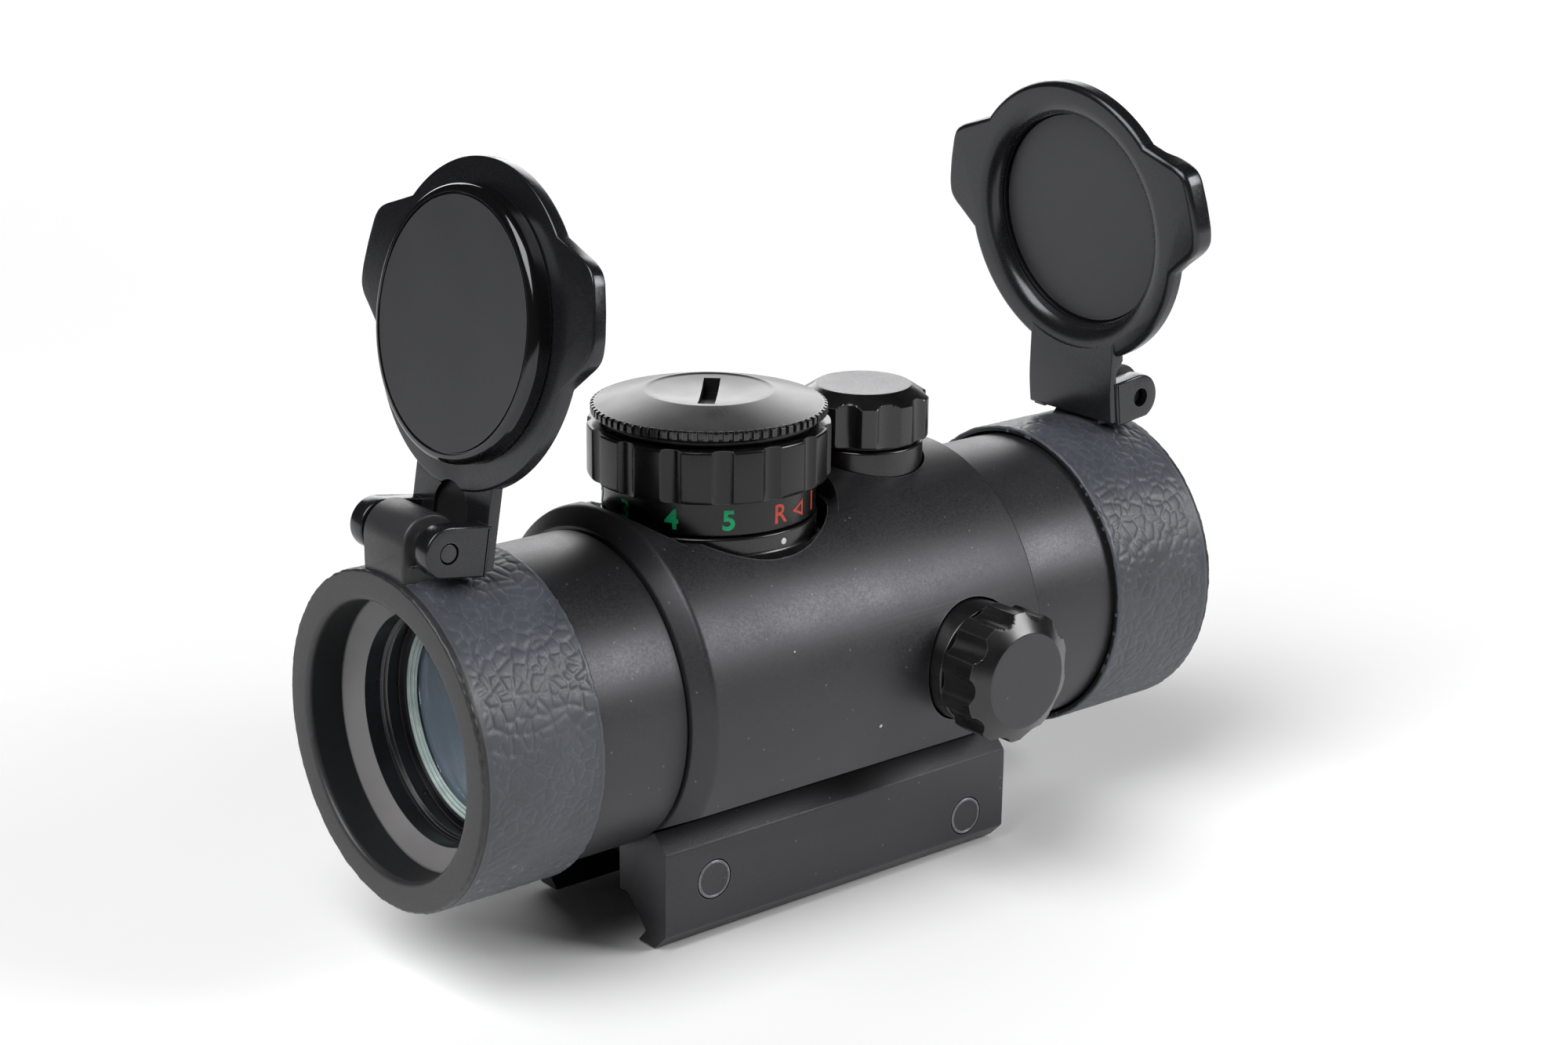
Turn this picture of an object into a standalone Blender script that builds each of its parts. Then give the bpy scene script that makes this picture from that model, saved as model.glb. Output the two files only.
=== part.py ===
"""Tube red dot sight with flip-up lens covers and a rail clamp.

Lengths in this file are millimetres; the helpers turn them into metres. The origin is the middle of the
rail seat, +X points at the target, +Z is up, and the tube's axis runs along X at height AXIS_Z.
"""

import math

import bmesh
import bpy
from mathutils import Matrix, Vector

MM = 0.001

# ---------------------------------------------------------------- driving dimensions
GAP = 0.3                   # kept between pieces that touch
AXIS_Z = 26.2               # tube axis above the rail seat

BODY_R = 23.6               # main body
BODY_BORE_R = 17.9
SPIGOT_BORE_R = 18.3
SPIGOT_END = 24.9           # how near the middle the end tubes' spigots reach
BODY_REAR, BODY_FRONT = -29.7, 28.0
BODY_SIDE = (20.35, -12.0)  # where each side of the underside leaves the round, from the tube axis
BODY_FLAT = (6.0, -19.3)    # where the side meets the flat bottom

REAR_TUBE_R, FRONT_TUBE_R = 20.65, 20.5
REAR_TUBE_END, FRONT_TUBE_END = -55.5, 58.15
TUBE_BORE_R = 16.8
MOUTH_R = 14.6              # rear opening in front of the window

RETAINER_FACE = -42.8       # front face of the ring that holds the rear window
WINDOW_R, WINDOW_BACK, WINDOW_FRONT = 15.0, -47.7, -45.4

RING_R = 21.75              # rubber rings
RING_REAR_FACE, RING_REAR_END = -61.2, -43.4
RING_FRONT_FACE, RING_FRONT_END = 63.85, 45.2
LIP_R, LIP_DEPTH = 17.7, 5.4

PIN_HEIGHT = 25.5           # hinge pins above the tube axis
PIN_R, PIN_HOLE_R = 1.2, 1.5
KNUCKLE_R, KNUCKLE_HALF = 4.0, 4.4
EAR_R, EAR_IN, EAR_OUT = 3.2, 5.9, 8.5
SPRING_R, SPRING_WIRE_R = 2.05, 0.22  # torsion spring, to the middle of its wire
SPRING_START, SPRING_PITCH = -4.7, -0.44

# The flip covers, drawn open. Heights run out of a cover's outer side, from its hinge pin: inner and outer
# are the flange's faces, rim the top of the rim, floor the bottom of the round recess and plug the plug's
# face. drop is the way from the pin to the cover's middle and lean how far past upright it opens, in
# degrees.
COVERS = {
    "eyepiece": {"direction": -1, "pin_x": -56.5, "lean": 9.3, "drop": 26.2, "plug": 2.2, "inner": 5.0,
                 "outer": 6.9, "rim": 7.6, "floor": 5.6, "arm_in": 5.3, "arm_out": 6.9, "neck_in": 5.3},
    "objective": {"direction": 1, "pin_x": 61.6, "lean": 6.75, "drop": 25.6, "plug": 0.6, "inner": 2.6,
                  "outer": 4.2, "rim": 4.7, "floor": 1.7, "arm_in": 4.4, "arm_out": 5.9, "neck_in": 2.9},
}
FLANGE_R, PLUG_R, RECESS_R = 20.2, 16.9, 15.5
TAB_TOP, TAB_LOW = (15.6, 12.83), (19.9, -3.5)  # where a tab's edges meet the round flange
TAB_EDGE = [(23.4, -1.0), (24.5, 0.4), (24.6, 2.5), (24.0, 6.0), (23.1, 9.4), (22.3, 10.6), (20.8, 11.4)]
ARM_HALF, ARM_LOW, ARM_TOP = 8.2, -2.5, 9.0

DIAL_X = -10.5              # brightness dial
GRIP_R, SKIRT_R = 15.9, 14.0
FLUTES, FLUTE_R, FLUTE_CENTRE_R = 15, 2.0, 17.25
FIRST_FLUTE = -98           # degrees round the dial from +X
SLOT_LENGTH, SLOT_WIDTH, SLOT_ANGLE = 13.0, 2.2, 48.0
CLICK_Y = 12.9              # the click ball, behind the dial's axis
CELL_R, HOLDER_R = 10.0, 12.3
LID_O_RING = (13.9, 0.42)   # radius and half thickness

TURRET_X = 16.1             # elevation and windage adjusters
NECK_R, CAP_R, CAP_FACE_R = 8.2, 8.9, 6.45
CAP_FLUTES, CAP_FLUTE_R, CAP_FLUTE_OUT = 10, 2.4, 1.9
CAP_SEAL = (7.4, 0.27)
ADJUSTER_SCREW_R, PLUNGER_R = 3.0, 2.6

CARRIER_R, BALL_R, PIVOT_X = 14.9, 15.2, -31.0
CARRIER_BORE_R, LENS_R = 13.7, 14.1
LIGHT_HEIGHT, LIGHT_R = 11.4, 0.9  # light source above the tube axis
SPRING_ANGLE, SPRING_HALF_ANGLE = -45, 25  # return spring, degrees round the tube
SPRING_BED_R, SPRING_RISE, SPRING_THICK, SPRING_HALF_WIDTH = 15.75, 1.6, 0.3, 4

SCREWS = {"rear": (-21.85, 2.6), "front": (22.6, -0.3)}  # clamp screws: x and height over the seat
CLAMP_SCREW_R, CLAMP_HEAD_R = 2.65, 4.0
MOUNT_HALF = 29.7           # half of the mount's length
MOUNT_SCREW_X, MOUNT_SCREW_R, MOUNT_HEAD_R = 9.0, 1.5, 2.7
MOUNT_HOLE_R, MOUNT_HEAD_HOLE_R = 1.8, 3.0
POST_Y, SEAT_Y, CLAMP_Y = 5.9, 7.8, 9.3

# segments of turned shapes, by size
ROUND, INNER_ROUND, SMALL_ROUND, TINY_ROUND, CUTTER_ROUND = 36, 28, 20, 12, 8
SPRING_SPAN = 16            # steps along the return spring

# ---------------------------------------------------------------- materials: colour, roughness, metallic
FINISHES = {
    "anodised": ((0.030, 0.029, 0.031), 0.48, 0.8),
    "rubber": ((0.045, 0.049, 0.056), 0.75, 0.0),
    "plastic": ((0.026, 0.026, 0.028), 0.42, 0.0),
    "gloss_plastic": ((0.022, 0.022, 0.024), 0.22, 0.0),
    "steel": ((0.42, 0.42, 0.43), 0.35, 1.0),
    "brass": ((0.60, 0.45, 0.20), 0.35, 1.0),
    "glass": ((0.80, 0.88, 0.86), 0.05, 0.0),
    "board": ((0.02, 0.16, 0.07), 0.55, 0.0),
    "lamp": ((0.55, 0.03, 0.03), 0.30, 0.0),
}


def finish(name):
    """The Principled material of that name, made on first use."""
    if name in bpy.data.materials:
        return bpy.data.materials[name]
    colour, roughness, metallic = FINISHES[name]
    material = bpy.data.materials.new(name)
    material.use_nodes = True
    shader = material.node_tree.nodes["Principled BSDF"]
    shader.inputs["Base Color"].default_value = (*colour, 1.0)
    shader.inputs["Roughness"].default_value = roughness
    shader.inputs["Metallic"].default_value = metallic
    return material


# ---------------------------------------------------------------- directions
def frame_at(origin, x, y, z):
    """A placement whose local axes are x, y and z, with its origin given in millimetres."""
    matrix = Matrix((x, y, z)).transposed().to_4x4()
    matrix.translation = Vector(origin) * MM
    return matrix


def along_x(x=0.0, y=0.0, z=AXIS_Z):
    """Local Z runs along world +X."""
    return frame_at((x, y, z), (0, 1, 0), (0, 0, 1), (1, 0, 0))


def along_y(x, y, z):
    """Local Z runs along world +Y."""
    return frame_at((x, y, z), (0, 0, 1), (1, 0, 0), (0, 1, 0))


def upright(x=0.0, y=0.0, z=AXIS_Z):
    return frame_at((x, y, z), (1, 0, 0), (0, 1, 0), (0, 0, 1))


def sideways(x):
    """Local Z runs out of the windage side, along world -Y."""
    return frame_at((x, 0, AXIS_Z), (1, 0, 0), (0, 0, 1), (0, -1, 0))


# ---------------------------------------------------------------- building helpers
def start():
    """An empty scene with the part's collection."""
    for obj in list(bpy.data.objects):
        bpy.data.objects.remove(obj, do_unlink=True)
    parts = bpy.data.collections.new("red_dot_sight")
    bpy.context.scene.collection.children.link(parts)
    return parts


def link(name, data, place, look="anodised"):
    obj = bpy.data.objects.new(name, data)
    obj.matrix_world = place
    if not data.materials:
        data.materials.append(finish(look))
    PARTS.objects.link(obj)
    return obj


def settle(obj):
    """Turns what the modifiers or the curve make into the object's own mesh."""
    bpy.context.view_layer.update()
    graph = bpy.context.evaluated_depsgraph_get()
    mesh = bpy.data.meshes.new_from_object(obj.evaluated_get(graph))
    if obj.type == "CURVE":
        work = bmesh.new()
        work.from_mesh(mesh)
        bmesh.ops.remove_doubles(work, verts=work.verts, dist=1e-6)
        bmesh.ops.recalc_face_normals(work, faces=work.faces)
        work.to_mesh(mesh)
        work.free()
        name, place = obj.name, obj.matrix_world.copy()
        bpy.data.objects.remove(obj, do_unlink=True)
        return link(name, mesh, place)
    obj.modifiers.clear()
    obj.data = mesh
    return obj


def turned(name, profile, place, look="anodised", steps=ROUND):
    """A solid of revolution about local Z. The profile is (radius, height) pairs down its outer side; it is
    a ring unless it starts and ends on the axis."""
    points = [(r * MM, 0.0, h * MM) for r, h in profile]
    edges = [(i, i + 1) for i in range(len(points) - 1)]
    if profile[0][0] > 0.0:
        edges.append((len(points) - 1, 0))
    mesh = bpy.data.meshes.new(name)
    mesh.from_pydata(points, edges, [])
    obj = link(name, mesh, place, look)
    screw = obj.modifiers.new("turn", "SCREW")
    screw.steps = screw.render_steps = steps
    screw.use_merge_vertices = True
    screw.merge_threshold = 1e-6
    return settle(obj)


def rod(name, radius, low, high, place, look="anodised", steps=SMALL_ROUND):
    return turned(name, [(0, high), (radius, high), (radius, low), (0, low)], place, look, steps)


def box(name, low, high, place=None, look="anodised"):
    """A box between two corners."""
    bpy.ops.mesh.primitive_cube_add(size=1.0)
    obj = bpy.context.object
    for collection in list(obj.users_collection):
        collection.objects.unlink(obj)
    PARTS.objects.link(obj)
    obj.name = name
    middle = (Vector(low) + Vector(high)) / 2 * MM
    size = (Vector(high) - Vector(low)) * MM
    obj.data.transform(Matrix.Translation(middle) @ Matrix.Diagonal((*size, 1.0)))
    obj.matrix_world = place or Matrix.Identity(4)
    obj.data.materials.append(finish(look))
    return obj


def plate(name, outline, low, high, place, look="anodised"):
    """A flat outline in the local XY plane, thickened from low to high along local Z."""
    curve = bpy.data.curves.new(name, "CURVE")
    curve.dimensions = "2D"
    curve.fill_mode = "BOTH"
    curve.extrude = (high - low) / 2 * MM
    spline = curve.splines.new("POLY")
    spline.points.add(len(outline) - 1)
    for point, (x, y) in zip(spline.points, outline):
        point.co = (x * MM, y * MM, 0.0, 1.0)
    spline.use_cyclic_u = True
    curve.materials.append(finish(look))
    lift = Matrix.Translation((0, 0, (high + low) / 2 * MM))
    return settle(link(name, curve, place @ lift, look))


def wire(name, points, radius, place, look="steel"):
    """A round wire through the points."""
    curve = bpy.data.curves.new(name, "CURVE")
    curve.dimensions = "3D"
    curve.bevel_depth = radius * MM
    curve.bevel_resolution = 1
    curve.use_fill_caps = True
    spline = curve.splines.new("POLY")
    spline.points.add(len(points) - 1)
    for point, co in zip(spline.points, points):
        point.co = (*(Vector(co) * MM), 1.0)
    curve.materials.append(finish(look))
    return settle(link(name, curve, place, look))


def combine(obj, other, operation):
    """Joins the other solid to obj or cuts it away, and removes the other."""
    modifier = obj.modifiers.new(operation.lower(), "BOOLEAN")
    modifier.operation = operation
    modifier.object = other
    bpy.context.view_layer.update()
    settle(obj)
    bpy.data.objects.remove(other, do_unlink=True)
    return obj


def join(obj, *others):
    for other in others:
        combine(obj, other, "UNION")
    return obj


def cut(obj, *others):
    for other in others:
        combine(obj, other, "DIFFERENCE")
    return obj


def arc(centre, radius, start_angle, end_angle, count):
    """Points along an arc, angles in degrees."""
    step = (end_angle - start_angle) / (count - 1)
    angles = (math.radians(start_angle + step * i) for i in range(count))
    return [(centre[0] + radius * math.cos(a), centre[1] + radius * math.sin(a)) for a in angles]


def flipped(profile):
    """The same profile with its heights mirrored, still running down its outer side."""
    return [(r, -h) for r, h in reversed(profile)]


def coil(radius, pitch, turns, start_height=0.0, per_turn=10):
    """Points of a helix about local Z."""
    count = int(turns * per_turn) + 1
    turn = 2 * math.pi / per_turn
    return [(radius * math.cos(i * turn), radius * math.sin(i * turn), start_height + pitch * i / per_turn)
            for i in range(count)]


def torus(name, major, minor, place, look="rubber", steps=SMALL_ROUND):
    return turned(name, list(reversed(arc((major, 0), minor, 0, 300, 6))), place, look, steps)


# ---------------------------------------------------------------- housing
def underside(clearance):
    """The main body's flat-sided underside as (y, z) points, moved down by the clearance."""
    side, flat = BODY_SIDE, BODY_FLAT
    return [(-side[0], side[1] - clearance), (-flat[0], flat[1] - clearance),
            (flat[0], flat[1] - clearance), (side[0], side[1] - clearance)]


def main_body():
    body = turned("main_body", [
        (BODY_R - 0.4, BODY_FRONT), (BODY_R, BODY_FRONT - 0.4),
        (BODY_R, BODY_REAR + 1.95), (REAR_TUBE_R + 0.45, BODY_REAR), (SPIGOT_BORE_R, BODY_REAR),
        (SPIGOT_BORE_R, -SPIGOT_END + 0.4), (BODY_BORE_R, -SPIGOT_END + 0.8),
        (BODY_BORE_R, SPIGOT_END - 0.8), (SPIGOT_BORE_R, SPIGOT_END - 0.4),
        (SPIGOT_BORE_R, BODY_FRONT)], along_x())
    below = [*underside(0), (30, BODY_SIDE[1]), (30, -40), (-30, -40), (-30, BODY_SIDE[1])]
    cut(body,
        plate("underside_cutter", below, -40, 40, along_x()),
        rod("dial_hole", SKIRT_R + 0.4, 5, 30, upright(DIAL_X)),
        rod("elevation_hole", NECK_R + GAP, 5, 30, upright(TURRET_X)),
        rod("windage_hole", NECK_R + GAP, 5, 30, sideways(TURRET_X)))
    for x in (-MOUNT_SCREW_X, MOUNT_SCREW_X):
        cut(body, rod("mount_thread", MOUNT_HOLE_R, -25, -10, upright(x), steps=TINY_ROUND))
    return body


def tubes():
    spigot_r = SPIGOT_BORE_R - GAP
    seat_r, seat_back, seat_front = WINDOW_R + GAP, WINDOW_BACK - GAP, RETAINER_FACE + 0.4
    turned("eyepiece_tube", [
        (spigot_r, -SPIGOT_END), (spigot_r, BODY_REAR - GAP), (REAR_TUBE_R, BODY_REAR - GAP),
        (REAR_TUBE_R, REAR_TUBE_END + 0.3), (REAR_TUBE_R - 0.3, REAR_TUBE_END),
        (MOUTH_R, REAR_TUBE_END), (MOUTH_R, seat_back), (seat_r, seat_back), (seat_r, seat_front),
        (TUBE_BORE_R, seat_front + 0.8), (TUBE_BORE_R, -SPIGOT_END)], along_x())
    turned("objective_tube", [
        (FRONT_TUBE_R - 0.3, FRONT_TUBE_END), (FRONT_TUBE_R, FRONT_TUBE_END - 0.3),
        (FRONT_TUBE_R, BODY_FRONT + GAP), (spigot_r, BODY_FRONT + GAP), (spigot_r, SPIGOT_END),
        (TUBE_BORE_R, SPIGOT_END), (TUBE_BORE_R, FRONT_TUBE_END)], along_x())
    rod("eyepiece_window", WINDOW_R, WINDOW_BACK, WINDOW_FRONT, along_x(), "glass", INNER_ROUND)
    retainer_back, retainer_bore = WINDOW_FRONT + GAP, WINDOW_R - 1.4
    turned("eyepiece_retaining_ring", [
        (WINDOW_R, RETAINER_FACE), (WINDOW_R, retainer_back), (retainer_bore, retainer_back),
        (retainer_bore, RETAINER_FACE)], along_x(), steps=INNER_ROUND)


def rubber_ring(name, end, face, direction, pin_x):
    """A rubber ring with its hinge block. direction is -1 at the eyepiece and +1 at the objective."""
    length = abs(face - end)
    profile = [(RING_R - 0.3, length), (RING_R, length - 0.4), (RING_R, 0.7), (RING_R - 0.6, 0.0),
               (LIP_R + 0.6, 0.0), (LIP_R, 0.6), (LIP_R, LIP_DEPTH),
               (REAR_TUBE_R + GAP, LIP_DEPTH), (REAR_TUBE_R + GAP, length)]
    if direction > 0:
        profile = flipped(profile)
    ring = turned(name, profile, along_x(face), "rubber")
    front = min(KNUCKLE_R, abs(face - pin_x) - 0.1)
    start_angle = -math.degrees(math.acos(front / KNUCKLE_R))
    block = [(-KNUCKLE_R, -4.3), (front, -4.3), *arc((0, 0), KNUCKLE_R, start_angle, 180, 12)]
    height = AXIS_Z + PIN_HEIGHT
    block_place = frame_at((pin_x, 0, height), (direction, 0, 0), (0, 0, 1), (0, -direction, 0))
    join(ring, plate("hinge_block", block, -KNUCKLE_HALF, KNUCKLE_HALF, block_place, "rubber"))
    cut(ring, rod("pin_hole", PIN_HOLE_R, -10, 10, along_y(pin_x, 0, height), steps=TINY_ROUND))
    return ring


# ---------------------------------------------------------------- flip covers
def cover_place(direction, pin_x, lean):
    """An open cover's placement: X across, Y from the pin to the middle, Z out of the cover's outer side."""
    tilt = math.radians(lean)
    across = (0, -direction, 0)
    up = (-direction * math.sin(tilt), 0, math.cos(tilt))
    out = (-direction * math.cos(tilt), 0, -math.sin(tilt))
    return frame_at((pin_x, 0, AXIS_Z + PIN_HEIGHT), across, up, out)


def flange_outline(drop):
    """A disc with a finger tab at each side, about the cover's middle."""
    low, high = (math.degrees(math.atan2(y, x)) for x, y in (TAB_LOW, TAB_TOP))
    right = [*arc((0, 0), FLANGE_R, -90, low, 10)[1:], *TAB_EDGE, *arc((0, 0), FLANGE_R, high, 90, 8)]
    left = [(-x, y) for x, y in reversed(right[:-1])]
    return [(x, y + drop) for x, y in [(0.0, -FLANGE_R), *right, *left]]


def cover(name, size):
    """One flip cover: the frame with its arm, ears and rim, and the plug disc behind its round recess."""
    place = cover_place(size["direction"], size["pin_x"], size["lean"])
    middle = place @ Matrix.Translation((0, size["drop"] * MM, 0))
    inner, outer, rim = size["inner"], size["outer"], size["rim"]
    arm_in, arm_out = size["arm_in"], size["arm_out"]
    frame = plate(f"{name}_cover_frame", flange_outline(size["drop"]), inner, outer, place, "plastic")
    root = outer - 0.6
    join(frame, turned("rim", [
        (RECESS_R + 0.9, rim), (FLANGE_R - 2.4, rim), (FLANGE_R - 1.0, rim - 0.5), (FLANGE_R - 0.5, root),
        (RECESS_R - 0.6, root), (RECESS_R - 0.6, rim - 0.9), (RECESS_R, rim - 0.5)], middle, "plastic"))
    # seen from the side: local X runs into the cover and local Z across it
    side = place @ Matrix(((0, 0, 1, 0), (0, 1, 0, 0), (-1, 0, 0, 0), (0, 0, 0, 1)))
    arm = [(arm_in, ARM_LOW), (arm_out, ARM_LOW), (arm_out, 1.0), (min(arm_out, rim), ARM_TOP),
           (size["neck_in"], ARM_TOP), (size["neck_in"], 6.3), (arm_in, 4.6)]
    join(frame, plate("arm", [(-n, t) for n, t in arm], -ARM_HALF, ARM_HALF, side, "plastic"))
    ear = [*arc((0, 0), EAR_R, 90, 270, 9), (arm_in + 0.6, -EAR_R + 0.2), (arm_in + 0.6, EAR_R)]
    for low, high in ((-EAR_OUT, -EAR_IN), (EAR_IN, EAR_OUT)):
        join(frame, plate("ear", [(-n, t) for n, t in ear], low, high, side, "plastic"))
    cut(frame, rod("recess", RECESS_R, 0, 12, middle),
        rod("pin_hole", PIN_HOLE_R, -12, 12, side, steps=TINY_ROUND))
    plug, seat = size["plug"], inner - GAP
    turned(f"{name}_cover_disc", [
        (0, size["floor"]), (RECESS_R - GAP, size["floor"]), (RECESS_R - GAP, seat), (PLUG_R, seat),
        (PLUG_R, plug + 1.0), (PLUG_R - 0.3, plug + 0.4), (PLUG_R - 0.9, plug), (0, plug)],
        middle, "gloss_plastic")


def hinge(name, pin_x, direction):
    """The pin and the torsion spring of one flip cover."""
    height = AXIS_Z + PIN_HEIGHT
    rod(f"{name}_hinge_pin", PIN_R, -EAR_OUT + 0.1, EAR_OUT - 0.1, along_y(pin_x, 0, height), "steel",
        TINY_ROUND)
    leg = (SPRING_R, -direction * 3.0, SPRING_START)
    place = frame_at((pin_x, 0, height), (0, 0, -1), (-1, 0, 0), (0, 1, 0))
    turns = coil(SPRING_R, SPRING_PITCH, 2, SPRING_START)
    wire(f"{name}_torsion_spring", [leg, *turns], SPRING_WIRE_R, place)


# ---------------------------------------------------------------- brightness dial
def dial():
    place = upright(DIAL_X)
    base = turned("dial_base", [
        (0, 18.5), (10.3, 18.5), (10.3, 24.2), (11.6, 24.2), (11.6, 20.7), (SKIRT_R + 0.1, 20.7),
        (SKIRT_R + 0.1, 17.0), (0, 17.0)], place)
    click = (DIAL_X, CLICK_Y)
    cut(base, rod("click_hole", 0.9, 18.0, 22.0, upright(*click), steps=TINY_ROUND))
    turned("click_ball", [(0, 20.75), *reversed(arc((0, 20.1), 0.65, -60, 60, 5)), (0, 19.45)],
           upright(*click), "steel", 10)
    wire("click_spring", coil(0.5, 0.5, 2, 18.3, 6), 0.12, upright(*click))
    rod("switch_board", 10.0, 18.8, 19.8, place, "board")
    rod("battery_contact", 1.6, 20.1, 26.8, place, "brass", TINY_ROUND)
    shell = turned("brightness_dial", [
        (GRIP_R - 0.4, 32.6), (GRIP_R, 32.2), (GRIP_R, 26.3), (GRIP_R - 0.9, 25.6), (SKIRT_R, 25.6),
        (SKIRT_R, 21.0), (11.9, 21.0), (11.9, 24.6), (2.2, 24.6), (2.2, 26.2), (HOLDER_R + GAP, 26.2),
        (HOLDER_R + GAP, 32.6)], place)
    for i in range(FLUTES):
        angle = math.radians(FIRST_FLUTE + 360 / FLUTES * i)
        x, y = FLUTE_CENTRE_R * math.cos(angle), FLUTE_CENTRE_R * math.sin(angle)
        cut(shell, rod("flute", FLUTE_R, 25.0, 33.5, upright(DIAL_X + x, y), steps=CUTTER_ROUND))
    turned("battery_holder", [
        (HOLDER_R, 30.9), (HOLDER_R, 26.5), (2.2, 26.5), (2.2, 26.9), (CELL_R + GAP, 26.9),
        (CELL_R + GAP, 30.9)], place, "plastic", INNER_ROUND)
    turned("coin_cell", [
        (0, 30.4), (CELL_R, 30.4), (CELL_R, 27.7), (CELL_R - 1.2, 27.2), (0, 27.2)], place, "steel",
        INNER_ROUND)
    wire("battery_spring", coil(4.0, 0.8, 2, 30.8), 0.22, place)
    lid = turned("battery_cover", [
        (0, 36.0), (4.2, 36.1), (7.9, 36.55), (8.4, 36.7), (15.1, 34.9), (15.4, 34.7), (15.4, 34.0),
        (15.2, 33.8), (HOLDER_R, 33.8), (HOLDER_R, 31.4), (11.0, 31.4), (11.0, 33.0), (0, 33.0)], place)
    low, high = (-SLOT_LENGTH / 2, -SLOT_WIDTH / 2, 34.6), (SLOT_LENGTH / 2, SLOT_WIDTH / 2, 40)
    cut(lid, box("coin_slot", low, high, place @ Matrix.Rotation(math.radians(SLOT_ANGLE), 4, "Z")))
    torus("battery_cover_o_ring", *LID_O_RING, upright(DIAL_X, 0, AXIS_Z + 33.2))


# ---------------------------------------------------------------- adjusters
def adjuster(name, place):
    """One capped adjuster, whose local Z runs outwards from the tube axis."""
    turned(f"{name}_turret", [(6.2, 30.4), (6.2, 25.6), (NECK_R, 25.6), (NECK_R, 17.2), (3.3, 17.2),
                              (3.3, 30.4)], place, steps=SMALL_ROUND)
    screw = rod(f"{name}_adjuster_screw", ADJUSTER_SCREW_R, 22.6, 30.9, place, "brass")
    cut(screw, box("slot", (-5, -0.45, 30.0), (5, 0.45, 33), place))
    turned(f"{name}_plunger", [
        (0, 22.3), (PLUNGER_R, 22.3), (PLUNGER_R, 16.2), (PLUNGER_R - 1.0, 15.3), (0, 15.3)], place, "brass",
        TINY_ROUND)
    torus(f"{name}_cap_seal", *CAP_SEAL, place @ Matrix.Translation((0, 0, 25.9 * MM)))
    cap = turned(f"{name}_cap", [
        (0, 33.2), (CAP_FACE_R, 33.2), (CAP_R, 31.6), (CAP_R, 26.5), (CAP_R - 0.3, 26.2), (6.5, 26.2),
        (6.5, 31.6), (0, 31.6)], place, steps=SMALL_ROUND)
    for i in range(CAP_FLUTES):
        turn = Matrix.Rotation(2 * math.pi * i / CAP_FLUTES, 4, "Z")
        groove = place @ turn @ Matrix.Translation(((CAP_R + CAP_FLUTE_OUT) * MM, 0, 0))
        cut(cap, rod("groove", CAP_FLUTE_R, 25, 35, groove, steps=CUTTER_ROUND))


# ---------------------------------------------------------------- optics that the adjusters tilt
def spring_outline():
    """The bowed leaf spring seen along the tube: its middle touches the carrier side, its ends stand off."""
    inner, outer = [], []
    for i in range(SPRING_SPAN + 1):
        across = 2 * i / SPRING_SPAN - 1
        angle = math.radians(SPRING_ANGLE + SPRING_HALF_ANGLE * across)
        radius = SPRING_BED_R + SPRING_RISE * across ** 2
        inner.append((radius * math.cos(angle), radius * math.sin(angle)))
        outer.append(((radius + SPRING_THICK) * math.cos(angle), (radius + SPRING_THICK) * math.sin(angle)))
    return inner + outer[::-1]


def carrier():
    turned("pivot_seat", [
        (TUBE_BORE_R - GAP, PIVOT_X + 2), (TUBE_BORE_R - GAP, PIVOT_X - 2), (BALL_R + GAP, PIVOT_X - 2),
        (BALL_R + GAP, PIVOT_X + 2)], along_x(), "brass", INNER_ROUND)
    turned("carrier_tube", [
        (15.4, 40.0), (15.4, 31.0), (CARRIER_R, 30.4), (CARRIER_R, PIVOT_X + 2.4), (BALL_R, PIVOT_X + 0.8),
        (BALL_R, PIVOT_X - 0.8), (CARRIER_R, PIVOT_X - 2.0), (CARRIER_BORE_R, PIVOT_X - 2.0),
        (CARRIER_BORE_R, 33.6), (LENS_R + GAP, 33.6), (LENS_R + GAP, 40.0)], along_x(), steps=INNER_ROUND)
    turned("objective_lens", [(0, 37.4), (LENS_R, 36.4), (LENS_R, 34.2), (0, 34.9)], along_x(), "glass",
           INNER_ROUND)
    turned("objective_retaining_ring", [
        (LENS_R, 39.8), (LENS_R, 37.4), (LENS_R - 1.2, 37.4), (LENS_R - 1.2, 39.8)], along_x(),
        steps=INNER_ROUND)
    box("light_holder", (-24, -2.5, AXIS_Z + 10.2), (-18, 2.5, AXIS_Z + 13.1), look="plastic")
    rod("light_source", LIGHT_R, -17.7, -15.6, along_x(z=AXIS_Z + LIGHT_HEIGHT), "lamp", TINY_ROUND)
    plate("return_spring", spring_outline(), TURRET_X - SPRING_HALF_WIDTH, TURRET_X + SPRING_HALF_WIDTH,
          along_x(), "steel")


# ---------------------------------------------------------------- rail mount
def saddle(y):
    """Height over the seat of the mount's top at y, just clear of the body's underside."""
    (side_y, side_z), (flat_y, flat_z) = BODY_SIDE, BODY_FLAT
    slope = (side_z - flat_z) / (side_y - flat_y)
    return AXIS_Z + flat_z + slope * max(abs(y) - flat_y, 0) - 1.15 * GAP


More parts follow.
